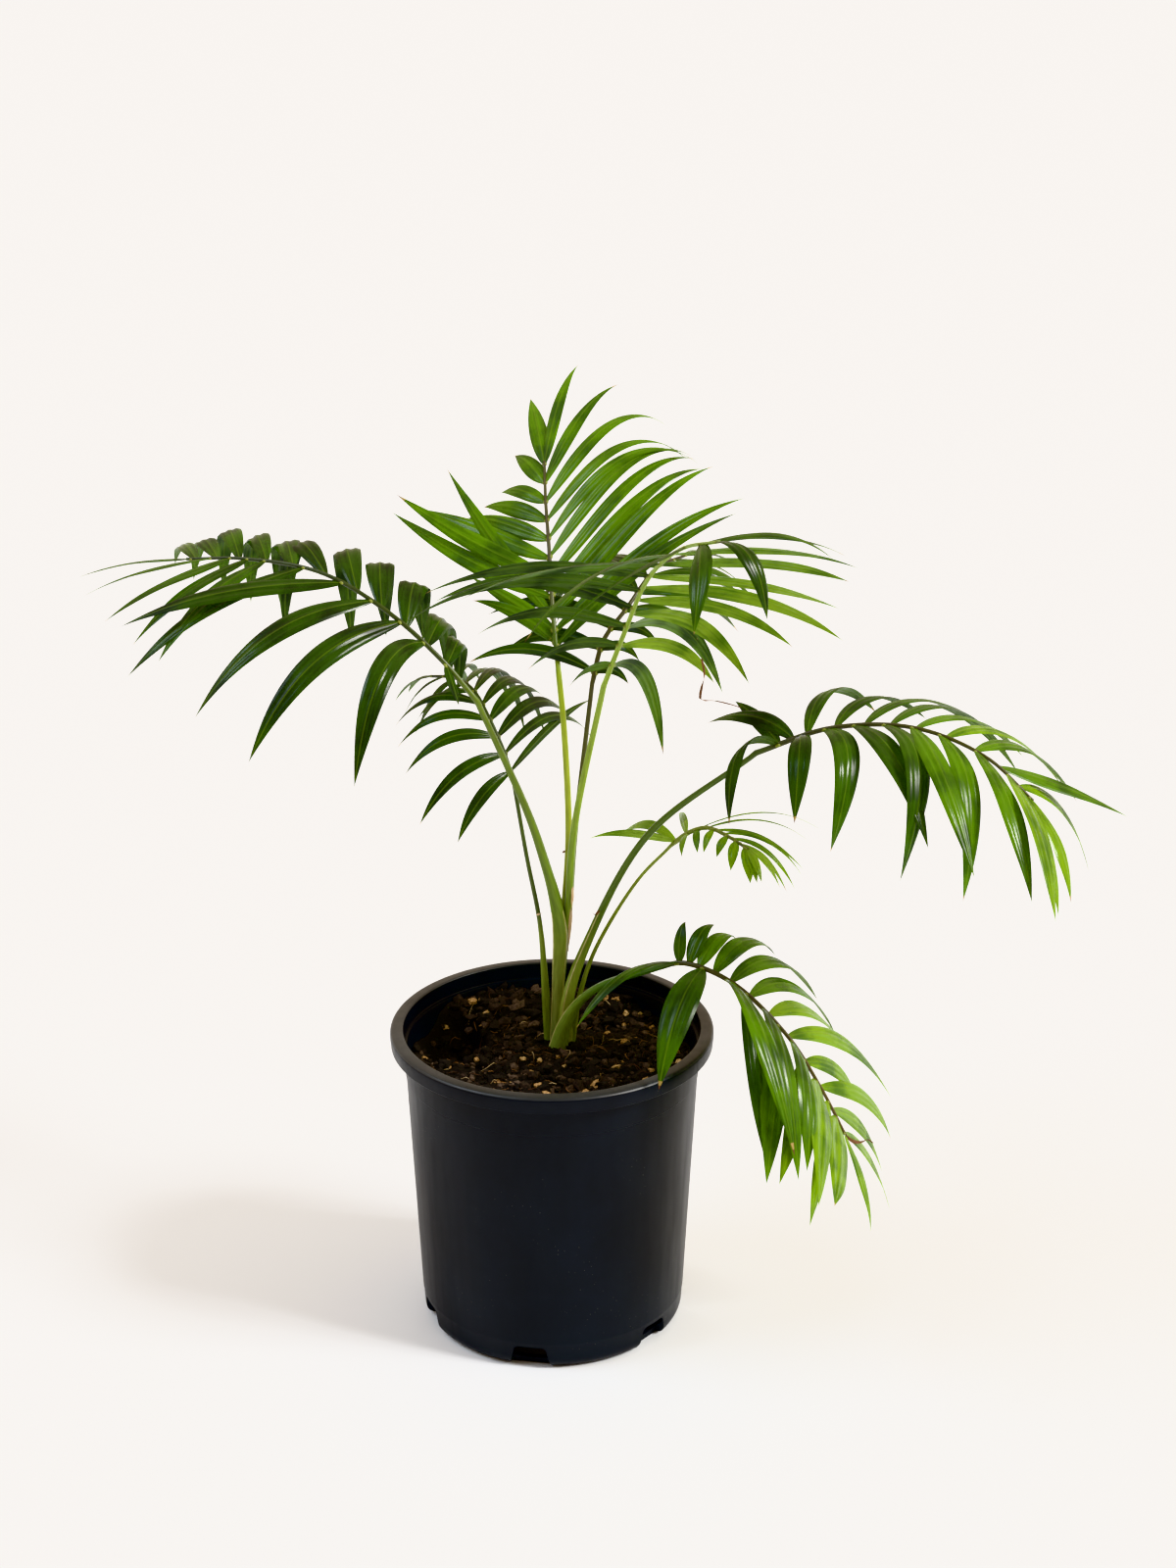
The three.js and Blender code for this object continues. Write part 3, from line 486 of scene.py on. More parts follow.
        "rib": [(-24, 34, 360), (-31, 40, 381), (-40, 50, 399), (-50, 66, 412), (-63, 86, 414),
            (-80, 104, 409)],
        "count": 10, "shades": ["deep", "deep", "dark", "dark"],
        "stemColours": [(0.0, "#8aa04c"), (0.22, "#8fa44a"), (0.26, "#55682c"), (0.5, "#465a26"),
            (1.0, "#36441c")],
        "margins": [0.2],
        "right": {
            "at": [0.07, 0.985], "length": [112, 100, 130, 90, 45], "spread": [70, 60, 48, 52, 16],
            "lift": [-5, 8, 8, 10, 0], "droop": [0.4, 1.6, 3, 1.2, 1], "sweep": 0, "sharp": 1.4,
            "width": [6, 9.5, 8.5, 8, 7],
            "extra": {1: {"length": 1.15, "droop": 1.6}, 3: {"length": 0.75, "droop": 0.6},
                5: {"length": 1.15}, 8: {"length": 1.2, "spread": 25}},
        },
        "left": {
            "at": [0.07, 0.985], "length": [60, 70, 65, 42, 38], "spread": [100, 55, 50, 72, 15],
            "lift": [-12, -15, -2, -25, 0], "droop": [1.5, 2, 2.2, 2.4, 1.5],
            "sweep": [0, 0.2, 0.3, -0.3, 0], "sharp": 1.4, "width": [9, 8, 8, 8, 7],
            "extra": {1: {"length": 1.2}, 5: {"length": 0.8}},
        },
    },
    "rightSmall": {
        "node": "right_small", "seed": 8, "heading": -35,
        "stem": [(13, 25, 181.3), (18, 19, 218), (28, 22.5, 249), (56, 36, 293), (77, 42, 314)],
        "stemRadius": [2.0, 1.8, 1.5, 1.4, 1.3, 1.2, 1.2],
        "rib": [(77, 42, 314), (88, 42, 323), (100, 34, 330), (112, 18, 331), (125, 0, 329)], "count": 9,
        "shades": ["young", "fresh", "fresh", "young"],
        "stemColours": [(0.0, "#98ac54"), (0.3, "#869a36"), (0.5, "#8a9c44"), (1.0, "#5c6628")],
        "margins": [],
        "right": {
            "at": [0.065, 0.295, 0.7, 0.95, 0.985], "length": [65, 22, 18, 28, 28],
            "spread": [115, 65, 68, 28, 12], "lift": [45, -8, 3, -5, 0], "droop": [0.7, 2, 2.4, 1.9, 1.6],
            "sweep": [0.4, 0.5, 0, 0, 0], "sharp": 1.3, "width": [6, 5.5, 6, 8, 6],
            "extra": {1: {"length": 0.6, "lift": -20}},
        },
        "left": {
            "at": [0.065, 0.985], "length": [78, 90, 65, 56, 34], "spread": [102, 45, 32, 36, 20],
            "lift": [55, 2, 15, 12, 0], "droop": [1.4, 1, 1.3, 2.2, 2], "sweep": 0, "sharp": 1.3,
            "width": [7, 5.5, 5.5, 5.5, 5.5],
            "extra": {1: {"length": 0.7, "spread": 25, "droop": 0.5},
                3: {"length": 0.95, "spread": 15, "lift": -5}, 5: {"spread": 15}},
        },
    },
}

def bladeShape(s):
    # half the width along a leaflet, 1 at its widest
    swell = (s + blade["rootWidth"]) ** blade["rootCurve"]
    return (swell * (1 - s) ** blade["tipCurve"]) / blade["widest"]


def leafRings(root, along, across, over, side, leaf):
    # the centre line leaves the midrib at its spread and lift and bends down as it goes
    spread, lift = math.radians(leaf["spread"]), math.radians(leaf["lift"])
    outward = across * (side * math.cos(lift)) + over * math.sin(lift)
    heading = along * math.cos(spread) + outward * math.sin(spread)
    breadth = along * -math.sin(spread) + outward * math.cos(spread)
    steps = blade["along"]

    def bent(s):
        return (heading - up * leaf["droop"] * s ** leaf["sharp"] + along * leaf["sweep"] * s).normalized()

    rings, places = [], []
    at = root.copy()
    shift = leaf["key"] * 37.7  # moves the pattern on, so that no two leaflets have the same
    for k in range(steps):
        s = k / steps
        way = bent(s)
        wide = square(breadth, way)
        wide.rotate(Matrix.Rotation(math.radians(leaf["twist"]) * s * side, 3, way))
        top = way.cross(wide) * -side
        half = bladeShape(s) * leaf["width"] / 2
        ring, place = [], []
        strips = blade["across"]
        for i in range(2 * strips):
            upper = i <= strips
            x = -1 + 2 * i / strips if upper else 3 - 2 * i / strips
            fold = blade["fold"] * (1 - blade["fade"] * s) * abs(x) ** blade["foldCurve"]
            pleat = blade["pleat"] * math.cos(blade["pleats"] * math.pi * x)
            phase = blade["waveTurn"] * s + leaf["key"] * 2.1 + (2 if x > 0 else 0)
            wave = blade["wave"] * abs(x) * math.sin(phase)
            thick = blade["thick"] * 0.5 * math.sqrt(max(1 - x * x, 0)) * (1 - blade["fade"] * s)
            rise = (pleat - fold + wave) * half + (thick if upper else -thick)
            ring.append(at + wide * (x * half) + top * rise)
            place.append((x * half, s * leaf["length"] + shift))
        place.append(place[0])
        # the upper side keeps the outer winding on both sides of the midrib
        if side > 0:
            ring = [ring[0]] + ring[:0:-1]
            place = [place[0]] + place[-2:0:-1] + [place[0]]
        rings.append(ring)
        places.append(place)
        at += bent((k + 0.5) / steps) * leaf["length"] / steps
    return rings, places, at


def leafOf(frond, half, i, k):
    # one leaflet: the values of its row, varied a little, with what is its own
    u = i / (frond["count"] - 1)
    own = half.get("extra", {}).get(i, {})
    vary = blade["vary"]
    leaf = {"key": k, "twist": vary["twist"] * scatter(k + 0.4), "sharp": keyed(half["sharp"], u),
            "sweep": keyed(half["sweep"], u) + own.get("sweep", 0)}
    for word, step in (("length", 0), ("droop", 0.3), ("width", 0.5)):
        leaf[word] = keyed(half[word], u) * (1 + vary[word] * scatter(k + step)) * own.get(word, 1)
    for word, step in (("spread", 0.1), ("lift", 0.2)):
        leaf[word] = keyed(half[word], u) + vary[word] * scatter(k + step) + own.get(word, 0)
    return leaf


def leavesOf(frond):
    rib = Guide(frond["rib"])
    bearing = math.radians(frond["heading"])
    level = Vector((math.cos(bearing), math.sin(bearing), 0)).cross(up)
    heap = Heap()
    roots = []
    strips = blade["across"]
    for side, half in ((1, frond["right"]), (-1, frond["left"])):
        shades = half.get("shades", frond["shades"])
        for i in range(frond["count"]):
            u = i / (frond["count"] - 1)
            t = keyed(half["at"], u)
            along = rib.way(t)
            across = square(level, along)
            over = across.cross(along)
            k = frond["seed"] * 100 + i * 2 + (0 if side > 0 else 1)
            rings, places, tip = leafRings(rib.at(t), along, across, over, side, leafOf(frond, half, i, k))
            # the green steps along the frond's shades; in most fronds it is darker near the crown and paler
            # towards the end, which is painted shade and painted light
            shade = round(u * 3 + blade["shadeMix"] * scatter(k + 0.7))
            base = leafSlots[shades[min(max(shade, 0), 3)]]
            dry = blade["dryTip"] * max(scatter(k + 0.8), 0)

            def finishAt(ring, column, base=base, dry=dry, side=side):
                s = ring / blade["along"]
                if s > 1 - dry:
                    return brownSlot
                if s > 1 - dry * 2:
                    return tanSlot
                upper = column < strips if side < 0 else column >= strips
                return base if upper else base + 1

            heap.addRings(rings, places, finishAt, tip)
            roots.append((rib.at(t), along, across * side, keyed(stalk["swelling"], t)))
    return heap, roots


# stems: a petiole that runs on into the midrib
stalk = {
    "sides": 14,
    "ribRadius": [1.75, 0.95],   # mm
    "step": 5.0,                 # mm between rings
    "channel": 0.16,             # groove along the upper side, as a share of the radius
    "channelWidth": 0.5,         # radians
    "channelFrom": 0.12,         # share of the length where it starts, above the sheath
    "channelGrow": 10,           # how fast it deepens there
    "ridge": 0.1,                # ridge along the midrib, as a share of the radius
    "marginWidth": 0.11,         # radians, half of the pale margin of a sheath
    "marginRise": 0.35,          # mm
    "marginEnd": 0.2,            # share of the length that has margins
    "marginFade": 0.02,          # share by which their rise goes on beyond their colour
    "sunk": 6.0,                 # mm that a stem goes on into the soil
    "swelling": [1.7, 1.0],      # mm, radius of the swelling that carries a leaflet
    "swellingSize": (1.3, 1.2, 0.8), "swellingOut": 0.7,   # in radii
}


# living leaf stalk, smooth and a little waxy: a soft sheen, fine streaks and some light under the skin
def stemFinish(name, stops):
    material, tree = newMaterial(name)
    place = addNode(tree, "UVMap", uv_map="surface")
    run = addNode(tree, "SeparateXYZ", {0: place}).outputs[1]  # 0 at the foot, 1000 at the tip
    length = addNode(tree, "Math", {0: run, 1: 0.001}, operation="MULTIPLY")
    along = addNode(tree, "Mapping", {"Scale": (1.1, 0.03, 1), "Vector": place})
    streaks = addNode(tree, "TexNoise", {"Scale": 1, "Detail": 3, "Vector": along})
    # colour stops along stem and midrib; a pale foot is partly painted light
    tone = addNode(tree, "ValToRGB", {"Fac": length}, stops)
    streakTone = addNode(tree, "ValToRGB", {"Fac": streaks}, [(0.3, 0.62), (0.7, 1.0)])
    colour = addNode(tree, "Mix", {0: 1.0, 6: tone, 7: streakTone}, data_type="RGBA", blend_type="MULTIPLY")
    relief = addNode(tree, "Bump", {"Strength": 0.25, "Distance": 0.2 * mm, "Height": streaks})
    skin = addNode(tree, "BsdfPrincipled", {"Roughness": 0.4, "Subsurface Weight": 0.08,
                   "Subsurface Radius": (0.002, 0.003, 0.001), "Subsurface Scale": 0.5,
                   "Base Color": colour.outputs[2], "Normal": relief})
    addNode(tree, "OutputMaterial", {0: skin})
    return material


def stemSamples(frond):
    # (centre, direction, radius, share) along petiole and midrib; share is 0.5 where they meet
    stem = Guide(frond["stem"])
    rib = Guide(frond["rib"])
    samples = []
    count = int(stem.length / stalk["step"])
    for i in range(count):
        u = i / count
        samples.append((stem.at(u), stem.way(u), keyed(frond["stemRadius"], u), 0.5 * u))
    joint = (stem.way(1) + rib.way(0)).normalized()
    samples.append((rib.at(0), joint, frond["stemRadius"][-1], 0.5))
    count = int(rib.length / stalk["step"])
    for i in range(1, count + 1):
        u = i / count
        samples.append((rib.at(u), rib.way(u), keyed(stalk["ribRadius"], u), 0.5 + 0.5 * u))
    foot = samples[0]
    samples.insert(0, (foot[0] - up * stalk["sunk"], up, foot[2], 0.0))
    return samples


def stemOf(frond, roots):
    bearing = math.radians(frond["heading"])
    level = Vector((math.cos(bearing), math.sin(bearing), 0)).cross(up)
    turns = [2 * math.pi * i / stalk["sides"] for i in range(stalk["sides"])]
    for margin in frond["margins"]:
        turns += [margin - stalk["marginWidth"], margin + stalk["marginWidth"]]
    turns.sort()

    def onMargin(turn):
        return any(abs(turn - m) <= stalk["marginWidth"] * 1.01 for m in frond["margins"])

    heap = Heap()
    rings, places, marked = [], [], []
    for centre, way, radius, share in stemSamples(frond):
        across = square(level, way)
        over = across.cross(way)
        ring, place = [], []
        for turn in turns:
            groove = math.exp(-((turn - math.pi / 2) / stalk["channelWidth"]) ** 2)
            groove *= -stalk["channel"] if share < 0.5 else stalk["ridge"]
            start = max(share - stalk["channelFrom"], 0)
            reach = radius * (1 + groove * min(start * stalk["channelGrow"], 1))
            if onMargin(turn) and share < stalk["marginEnd"] + stalk["marginFade"]:
                reach += stalk["marginRise"]
            ring.append(centre + across * math.cos(turn) * reach + over * math.sin(turn) * reach)
            place.append((turn * radius, share * 1000))
        place.append((2 * math.pi * radius, share * 1000))
        rings.append(ring)
        places.append(place)
        marked.append(share < stalk["marginEnd"])

    def finishAt(ring, column):
        following = turns[(column + 1) % len(turns)]
        return 1 if marked[ring] and onMargin(turns[column]) and onMargin(following) else 0

    heap.addRings(rings, places, finishAt, tip=centre)
    for at, along, outward, radius in roots:
        # a small swelling carries each leaflet
        place = Matrix.Translation(at + outward * radius * stalk["swellingOut"])
        turned = Matrix((along, outward, along.cross(outward))).transposed().to_4x4()
        size = Matrix.Diagonal([radius * share for share in stalk["swellingSize"]] + [1])
        heap.addCopy(swelling, place @ turned @ size, 2)
    return heap


def icoShape(subdivisions):
    # points and faces of a small ball, to be copied many times
    bpy.ops.mesh.primitive_ico_sphere_add(subdivisions=subdivisions, radius=1)
    ball = bpy.context.object
    shape = ([v.co.copy() for v in ball.data.vertices], [tuple(p.vertices) for p in ball.data.polygons])
    bpy.data.objects.remove(ball)
    return shape


swelling = icoShape(1)
marginFinish = plantFinish("paleSheathMargin", "#a7a468", "#c9c58c", 0.5, 1.2)
swellingFinish = plantFinish("leafletSwelling", "#6d7a30", "#8c9440", 0.5, 0.8)

for name, frond in fronds.items():
    leafHeap, roots = leavesOf(frond)
    leaves = leafHeap.build(f"leaves_{name}", leafMaterials, 60)
    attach(leaves, "root")
    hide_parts(f"frond_{frond['node']}")
    stemHeap = stemOf(frond, roots)
    stemPiece = stemHeap.build(f"stem_{name}", [stemFinish(f"{name}Petiole", frond["stemColours"]),
                                                marginFinish, swellingFinish], 50)
    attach(stemPiece, "root")
    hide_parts(f"stalk_{frond['node']}")
    if name == "leftLong":
        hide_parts("crown")
print("fronds done", len(fronds))


# nursery pot: injection moulded polypropylene, near black; sizes in millimetres
nurseryPot = {
    "height": 206, "rim": 105, "lip": 11, "mouth": 96.3, "ledge": 195, "ledgeStep": 2.6, "ledgeDrop": 1.5,
    "wallTop": 96, "wall": 1.7, "base": 86.1, "corner": 9, "floor": 3, "foot": 77,
    "boss": 14, "hollow": 0.9, "standing": 10,     # the underside is hollow between boss and standing ring
    "skirt": 2.0, "pocket": 3.4, "lipEdge": 0.9, "lipRound": 2.6, "mouthRound": 1.3,
    "line": 175, "lineWidth": 6, "lineStep": 0.45, "lowLine": 19, "lowLineWidth": 1.2, "lowLineStep": 0.35,
    "notches": 6, "notchTurn": -9.5, "notchBottom": 28, "notchTop": 20, "notchHeight": 16.5,
    "notchDepth": 16, "notchSoft": 3,
    "dustAndSheenDepth": 3, "dustAndSheenSlope": 0.35,             # how far down, and on how steep a face, the rim top takes its paler finish: painted sheen, with dust specks
    "spin": 144,
    "grain": 0.9,      # mm, fine texture of the mould
    "cloud": 60,       # mm across the soft changes of tone
    "streak": 7,       # mm across the marks of moulding, which run up the wall
    "dust": 3.2,       # mm between specks
    "speck": "#5d5a52",
    "rough": (0.38, 0.46),
    "finishes": {      # darker, lighter, strength of the reflection
        "blackMouldedPolypropylene": ("#0a0e15", "#111720", 0.26),
        # the rim top's paler tone is a painted sheen of the bright room; its dust specks are as on the body
        "dustAndPaintedSheenRimPolypropylene": ("#1c2024", "#2b3034", 0.6),
    },
}


# moulded polypropylene, black through and through: satin, with faint upright marks and a few specks of dust
def potFinish(name, dark, light, gloss):
    p = nurseryPot
    material, tree = newMaterial(name)
    spot = addNode(tree, "TexCoord").outputs["Object"]
    grain = addNode(tree, "TexNoise", {"Scale": 1 / (p["grain"] * mm), "Detail": 2, "Vector": spot})
    cloud = addNode(tree, "TexNoise", {"Scale": 1 / (p["cloud"] * mm), "Detail": 4, "Roughness": 0.6,
                    "Vector": spot})
    upright = addNode(tree, "Mapping", {"Scale": (1, 1, 0.12), "Vector": spot})
    streak = addNode(tree, "TexNoise", {"Scale": 1 / (p["streak"] * mm), "Detail": 3, "Vector": upright})
    tone = addNode(tree, "ValToRGB", {"Fac": cloud}, [(0.3, dark), (0.7, light)])
    dust = addNode(tree, "TexVoronoi", {"Scale": 1 / (p["dust"] * mm), "Randomness": 1.0, "Vector": spot})
    speck = addNode(tree, "ValToRGB", {"Fac": dust.outputs["Distance"]}, [(0.05, 1), (0.09, 0)])
    rare = addNode(tree, "ValToRGB", {"Fac": cloud}, [(0.5, 0), (0.62, 1)])
    speckOn = addNode(tree, "Math", {0: speck, 1: rare}, operation="MULTIPLY")
    colour = addNode(tree, "Mix", {0: speckOn, 6: tone, 7: toLinear(p["speck"])}, data_type="RGBA")
    smoothest, roughest = p["rough"]
    rough = addNode(tree, "MapRange", {"From Min": 0.3, "From Max": 0.7, "To Min": smoothest,
                    "To Max": roughest, "Value": streak})
    relief = addNode(tree, "Bump", {"Strength": 0.12, "Distance": 0.12 * mm, "Height": grain})
    skin = addNode(tree, "BsdfPrincipled", {"IOR": 1.49, "Specular IOR Level": gloss,
                   "Base Color": colour.outputs[2], "Roughness": rough, "Normal": relief})
    addNode(tree, "OutputMaterial", {0: skin})
    return material


def arc(centre, radius, start, end, steps):
    # points on a round stretch of the profile; angles in degrees from the +r direction
    return [(centre[0] + radius * math.cos(math.radians(start + (end - start) * i / steps)),
             centre[1] + radius * math.sin(math.radians(start + (end - start) * i / steps)))
            for i in range(steps + 1)]


def wallRadius(z):
    p = nurseryPot
    lipBottom = p["height"] - p["lip"]
    return p["base"] + (p["wallTop"] - p["base"]) * (z - p["corner"]) / (lipBottom - p["corner"])


def innerRadius(z):
    p = nurseryPot
    top, topZ = p["mouth"] - p["ledgeStep"], p["ledge"] - p["ledgeDrop"]
    bottom = p["base"] - p["wall"]
    return bottom + (top - bottom) * (z - p["corner"]) / (topZ - p["corner"])


def potProfile():
    # radius and height in mm, from under the base, up the outside, over the lip and down the inside
    p = nurseryPot
    height, rim, mouth = p["height"], p["rim"], p["mouth"]
    lipBottom = height - p["lip"]
    under = rim - p["skirt"]
    points = [(p["boss"], 0), (p["boss"] + 1, p["hollow"]),
              (p["foot"] - p["standing"] - 1, p["hollow"]), (p["foot"] - p["standing"], 0)]
    points += arc((p["base"] - p["corner"], p["corner"]), p["corner"], -90, 0, 8)
    for z, out in ((p["lowLine"] - p["lowLineWidth"], 0), (p["lowLine"], p["lowLineStep"]),
                   (p["lowLine"] + p["lowLineWidth"], p["lowLineStep"]), (p["line"] - 0.5, 0.1),
                   (p["line"], p["lineStep"]), (p["line"] + p["lineWidth"], p["lineStep"])):
        points.append((wallRadius(z) + out, z))
    points += [(wallRadius(lipBottom) + 0.1, lipBottom + 0.6),
               (wallRadius(lipBottom) + 0.4, height - p["pocket"]), (under - 0.6, height - p["pocket"]),
               (under - 0.4, lipBottom + 0.8)]
    points += arc((rim - 1.3, lipBottom + p["lipEdge"]), p["lipEdge"], -170, -20, 4)
    points += [(rim - 0.25, lipBottom + 3.0), (rim - 0.05, lipBottom + 5.0)]
    points += arc((rim - p["lipRound"], height - 2.8), p["lipRound"], 0, 78, 6)
    points += [(rim - 4.6, height - 0.05), (mouth + 2.2, height)]
    points += arc((mouth + p["mouthRound"], height - p["mouthRound"]), p["mouthRound"], 90, 180, 4)
    points += [(mouth - 0.2, p["ledge"] + 0.7), (mouth - 0.6, p["ledge"]),
               (mouth - p["ledgeStep"] + 0.5, p["ledge"] - 0.3), (mouth - p["ledgeStep"], p["ledge"] - 1.2)]
    points += [(innerRadius(z), z) for z in (150, 90, p["corner"] + 2)]
    points += [(p["foot"], p["floor"] + 0.5), (p["foot"] - 3, p["floor"])]
    return points


def extrudeChain(points):
    # one vertex pulled along the profile, in the XZ plane
    bpy.ops.mesh.primitive_plane_add(size=1, location=(0, 0, 0))
    bpy.ops.object.mode_set(mode="EDIT")
    bpy.ops.mesh.select_all(action="SELECT")
    bpy.ops.mesh.merge(type="CENTER")
    start = points[0]
    bpy.ops.transform.translate(value=(start[0] * mm, 0, start[1] * mm))
    for (r0, z0), (r1, z1) in zip(points, points[1:]):
        bpy.ops.mesh.extrude_region_move(
            TRANSFORM_OT_translate={"value": ((r1 - r0) * mm, 0, (z1 - z0) * mm)})


def notchCutter(turn):
    # a block with a narrower top and rounded upper corners, at one place on the foot
    p = nurseryPot
    depth = p["notchDepth"] * mm
    low = 5 * mm  # a height between its lower and its upper corners
    bpy.ops.mesh.primitive_cube_add(size=1, location=(0, 0, 0))
    cutter = bpy.context.object
    bpy.ops.object.mode_set(mode="EDIT")
    bpy.ops.mesh.select_all(action="SELECT")
    bpy.ops.transform.resize(value=(p["notchBottom"] * mm, depth, (p["notchHeight"] + 1) * mm))
    bpy.ops.transform.translate(value=(0, 0, (p["notchHeight"] - 1) / 2 * mm))
    bpy.ops.mesh.select_mode(type="EDGE")
    bpy.ops.mesh.select_all(action="DESELECT")
    bpy.ops.object.mode_set(mode="OBJECT")
    for edge in cutter.data.edges:
        ends = [cutter.data.vertices[i].co for i in edge.vertices]
        edge.select = all(c.z > low for c in ends) and abs(ends[0].y - ends[1].y) > depth / 2
    for vertex in cutter.data.vertices:
        if vertex.co.z > low:
            vertex.co.x *= p["notchTop"] / p["notchBottom"]
    bpy.ops.object.mode_set(mode="EDIT")
    bpy.ops.mesh.bevel(offset=p["notchSoft"] * mm, segments=4)
    bpy.ops.object.mode_set(mode="OBJECT")
    distance = (p["base"] - 1) * mm
    cutter.data.transform(Matrix.Rotation(turn, 4, "Z") @ Matrix.Translation((0, -distance, 0)))
    return cutter


def makePot():
    p = nurseryPot
    extrudeChain(potProfile())
    bpy.ops.mesh.select_all(action="SELECT")
    bpy.ops.mesh.spin(steps=p["spin"], angle=2 * math.pi, center=(0, 0, 0), axis=(0, 0, 1))
    bpy.ops.mesh.select_all(action="SELECT")
    bpy.ops.mesh.remove_doubles(threshold=0.02 * mm)
    # the two open rings, underneath and on the floor inside, are closed
    bpy.ops.mesh.select_all(action="DESELECT")
    bpy.ops.mesh.select_mode(type="EDGE")
    bpy.ops.mesh.select_non_manifold()
    bpy.ops.mesh.fill_holes(sides=0)
    bpy.ops.mesh.select_all(action="SELECT")
    bpy.ops.mesh.normals_make_consistent(inside=False)
    bpy.ops.object.mode_set(mode="OBJECT")
    pot = bpy.context.object
    pot.name = "pot_body"
    for i in range(p["notches"]):
        turn = math.radians(p["notchTurn"] + 360 / p["notches"] * i)
        cutter = notchCutter(turn)
        cut = pot.modifiers.new("notch", "BOOLEAN")
        cut.operation = "DIFFERENCE"
        cut.solver = "EXACT"
        cut.object = cutter
        bpy.context.view_layer.objects.active = pot
        bpy.ops.object.modifier_apply(modifier=cut.name)
        bpy.data.objects.remove(cutter)
    for finish, (dark, light, gloss) in p["finishes"].items():
        pot.data.materials.append(potFinish(finish, dark, light, gloss))
    # upward faces at the top of the rim take the paler finish, a painted sheen
    for face in pot.data.polygons:
        high = face.center.z > (p["height"] - p["dustAndSheenDepth"]) * mm
        face.material_index = 1 if high and face.normal.z > p["dustAndSheenSlope"] else 0
    smooth(pot, 28)
    return pot


pot = makePot()
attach(pot, "root")
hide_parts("pot")
print("pot done", len(pot.data.polygons))


# potting mix: damp peat, bark fibres and tan chips; sizes in millimetres
pottingMix = {
    "height": 181, "rings": 74, "sides": 220, "wallGap": 0.4,
    "relief": 2.4, "reliefScale": 26, "reliefGain": 1.3, "reliefFrom": 14,
    "lump": 0.9, "lumpScale": 7, "crumb": 1.3, "crumbScale": 2.4,
    "bank": 10, "bankFrom": 34, "bankTo": 82, "bankSkew": 0.25,   # banked up towards the back wall
    "hollow": (-66, 27), "hollowDepth": 26, "hollowSpread": 20, "hollowStretch": 0.8, "hollowEdge": 6,
    "crown": (4, 25), "crownFlat": 9, "crownClear": 11,
    "fine": 2.2, "broad": 22,    # mm across the fine and the broad pattern
    # the near black lowest stop is partly painted shade in the gaps between crumbs
    "tones": [(0.6, "#040403"), (0.85, "#110e0d"), (1.0, "#2a2420")],
    "crumbs": 2600, "crumbSize": (0.8, 3.4), "crumbJag": 0.9, "crumbFlat": 0.75,
    "chips": 60, "chipSize": (1.4, 3.2), "chipJag": 0.75, "chipFlat": 0.7,
    "tilt": 0.7, "stretch": (0.8, 1.5), "seat": (-0.1, 0.45),     # how crumbs and chips lie
    "grit": 1.4,                 # mm, speckle of a single crumb
    "crumbTones": {
        "peatCrumb": ("#0a0908", "#1f1b19"), "barkCrumb": ("#1e1916", "#3c332e"),
        "dryBarkCrumb": ("#3d342e", "#62554b"), "tanClayChip": ("#8a6c48", "#bf9c70"),
        "paleClayChip": ("#a48458", "#d8ba8c"),
    },
    "fibres": 240, "fibreLength": (5, 17), "fibreRadius": (0.16, 0.38), "fibreBend": 1.2,
    "fibreLift": (0.2, 2.2), "fibreSteps": 6,
    "fibreTones": {              # darker, lighter, roughness, mm across a streak
        "darkRootFibre": ("#2a1a10", "#4a3120", 0.8, 0.6), "barkFibre": ("#5a3d26", "#8a6848", 0.8, 0.6),
        "paleRoot": ("#a08a68", "#cdb892", 0.7, 0.6),
    },
}


# damp peat and bark: almost black and without shine; the pattern that pales it also raises its relief, so
# the low places between crumbs are darkest, painted shade there on top of the mix's own dark tone
def soilFinish():
    m = pottingMix
    material, tree = newMaterial("dampPottingMix")
    spot = addNode(tree, "TexCoord").outputs["Object"]
    fine = addNode(tree, "TexNoise", {"Scale": 1 / (m["fine"] * mm), "Detail": 5, "Roughness": 0.7,
                   "Vector": spot})
    broad = addNode(tree, "TexNoise", {"Scale": 1 / (m["broad"] * mm), "Detail": 3, "Vector": spot})
    both = addNode(tree, "Math", {0: fine, 1: 0.55, 2: broad}, operation="MULTIPLY_ADD")
    tone = addNode(tree, "ValToRGB", {"Fac": both}, m["tones"])
    relief = addNode(tree, "Bump", {"Strength": 0.8, "Distance": 1.0 * mm, "Height": fine})
    skin = addNode(tree, "BsdfPrincipled", {"Roughness": 0.85, "Specular IOR Level": 0.3,
                   "Base Color": tone, "Normal": relief})
    addNode(tree, "OutputMaterial", {0: skin})
    return material


# loose grains of peat, bark and fired clay: dull and gritty, each a little uneven in tone
def crumbFinish(name, dark, light):
    material, tree = newMaterial(name)
    spot = addNode(tree, "TexCoord").outputs["Object"]
    grit = addNode(tree, "TexNoise", {"Scale": 1 / (pottingMix["grit"] * mm), "Detail": 3, "Vector": spot})
    tone = addNode(tree, "ValToRGB", {"Fac": grit}, [(0.35, dark), (0.65, light)])
    relief = addNode(tree, "Bump", {"Strength": 0.7, "Distance": 0.5 * mm, "Height": grit})
    skin = addNode(tree, "BsdfPrincipled", {"Roughness": 0.85, "Specular IOR Level": 0.35,
                   "Base Color": tone, "Normal": relief})
    addNode(tree, "OutputMaterial", {0: skin})
    return material


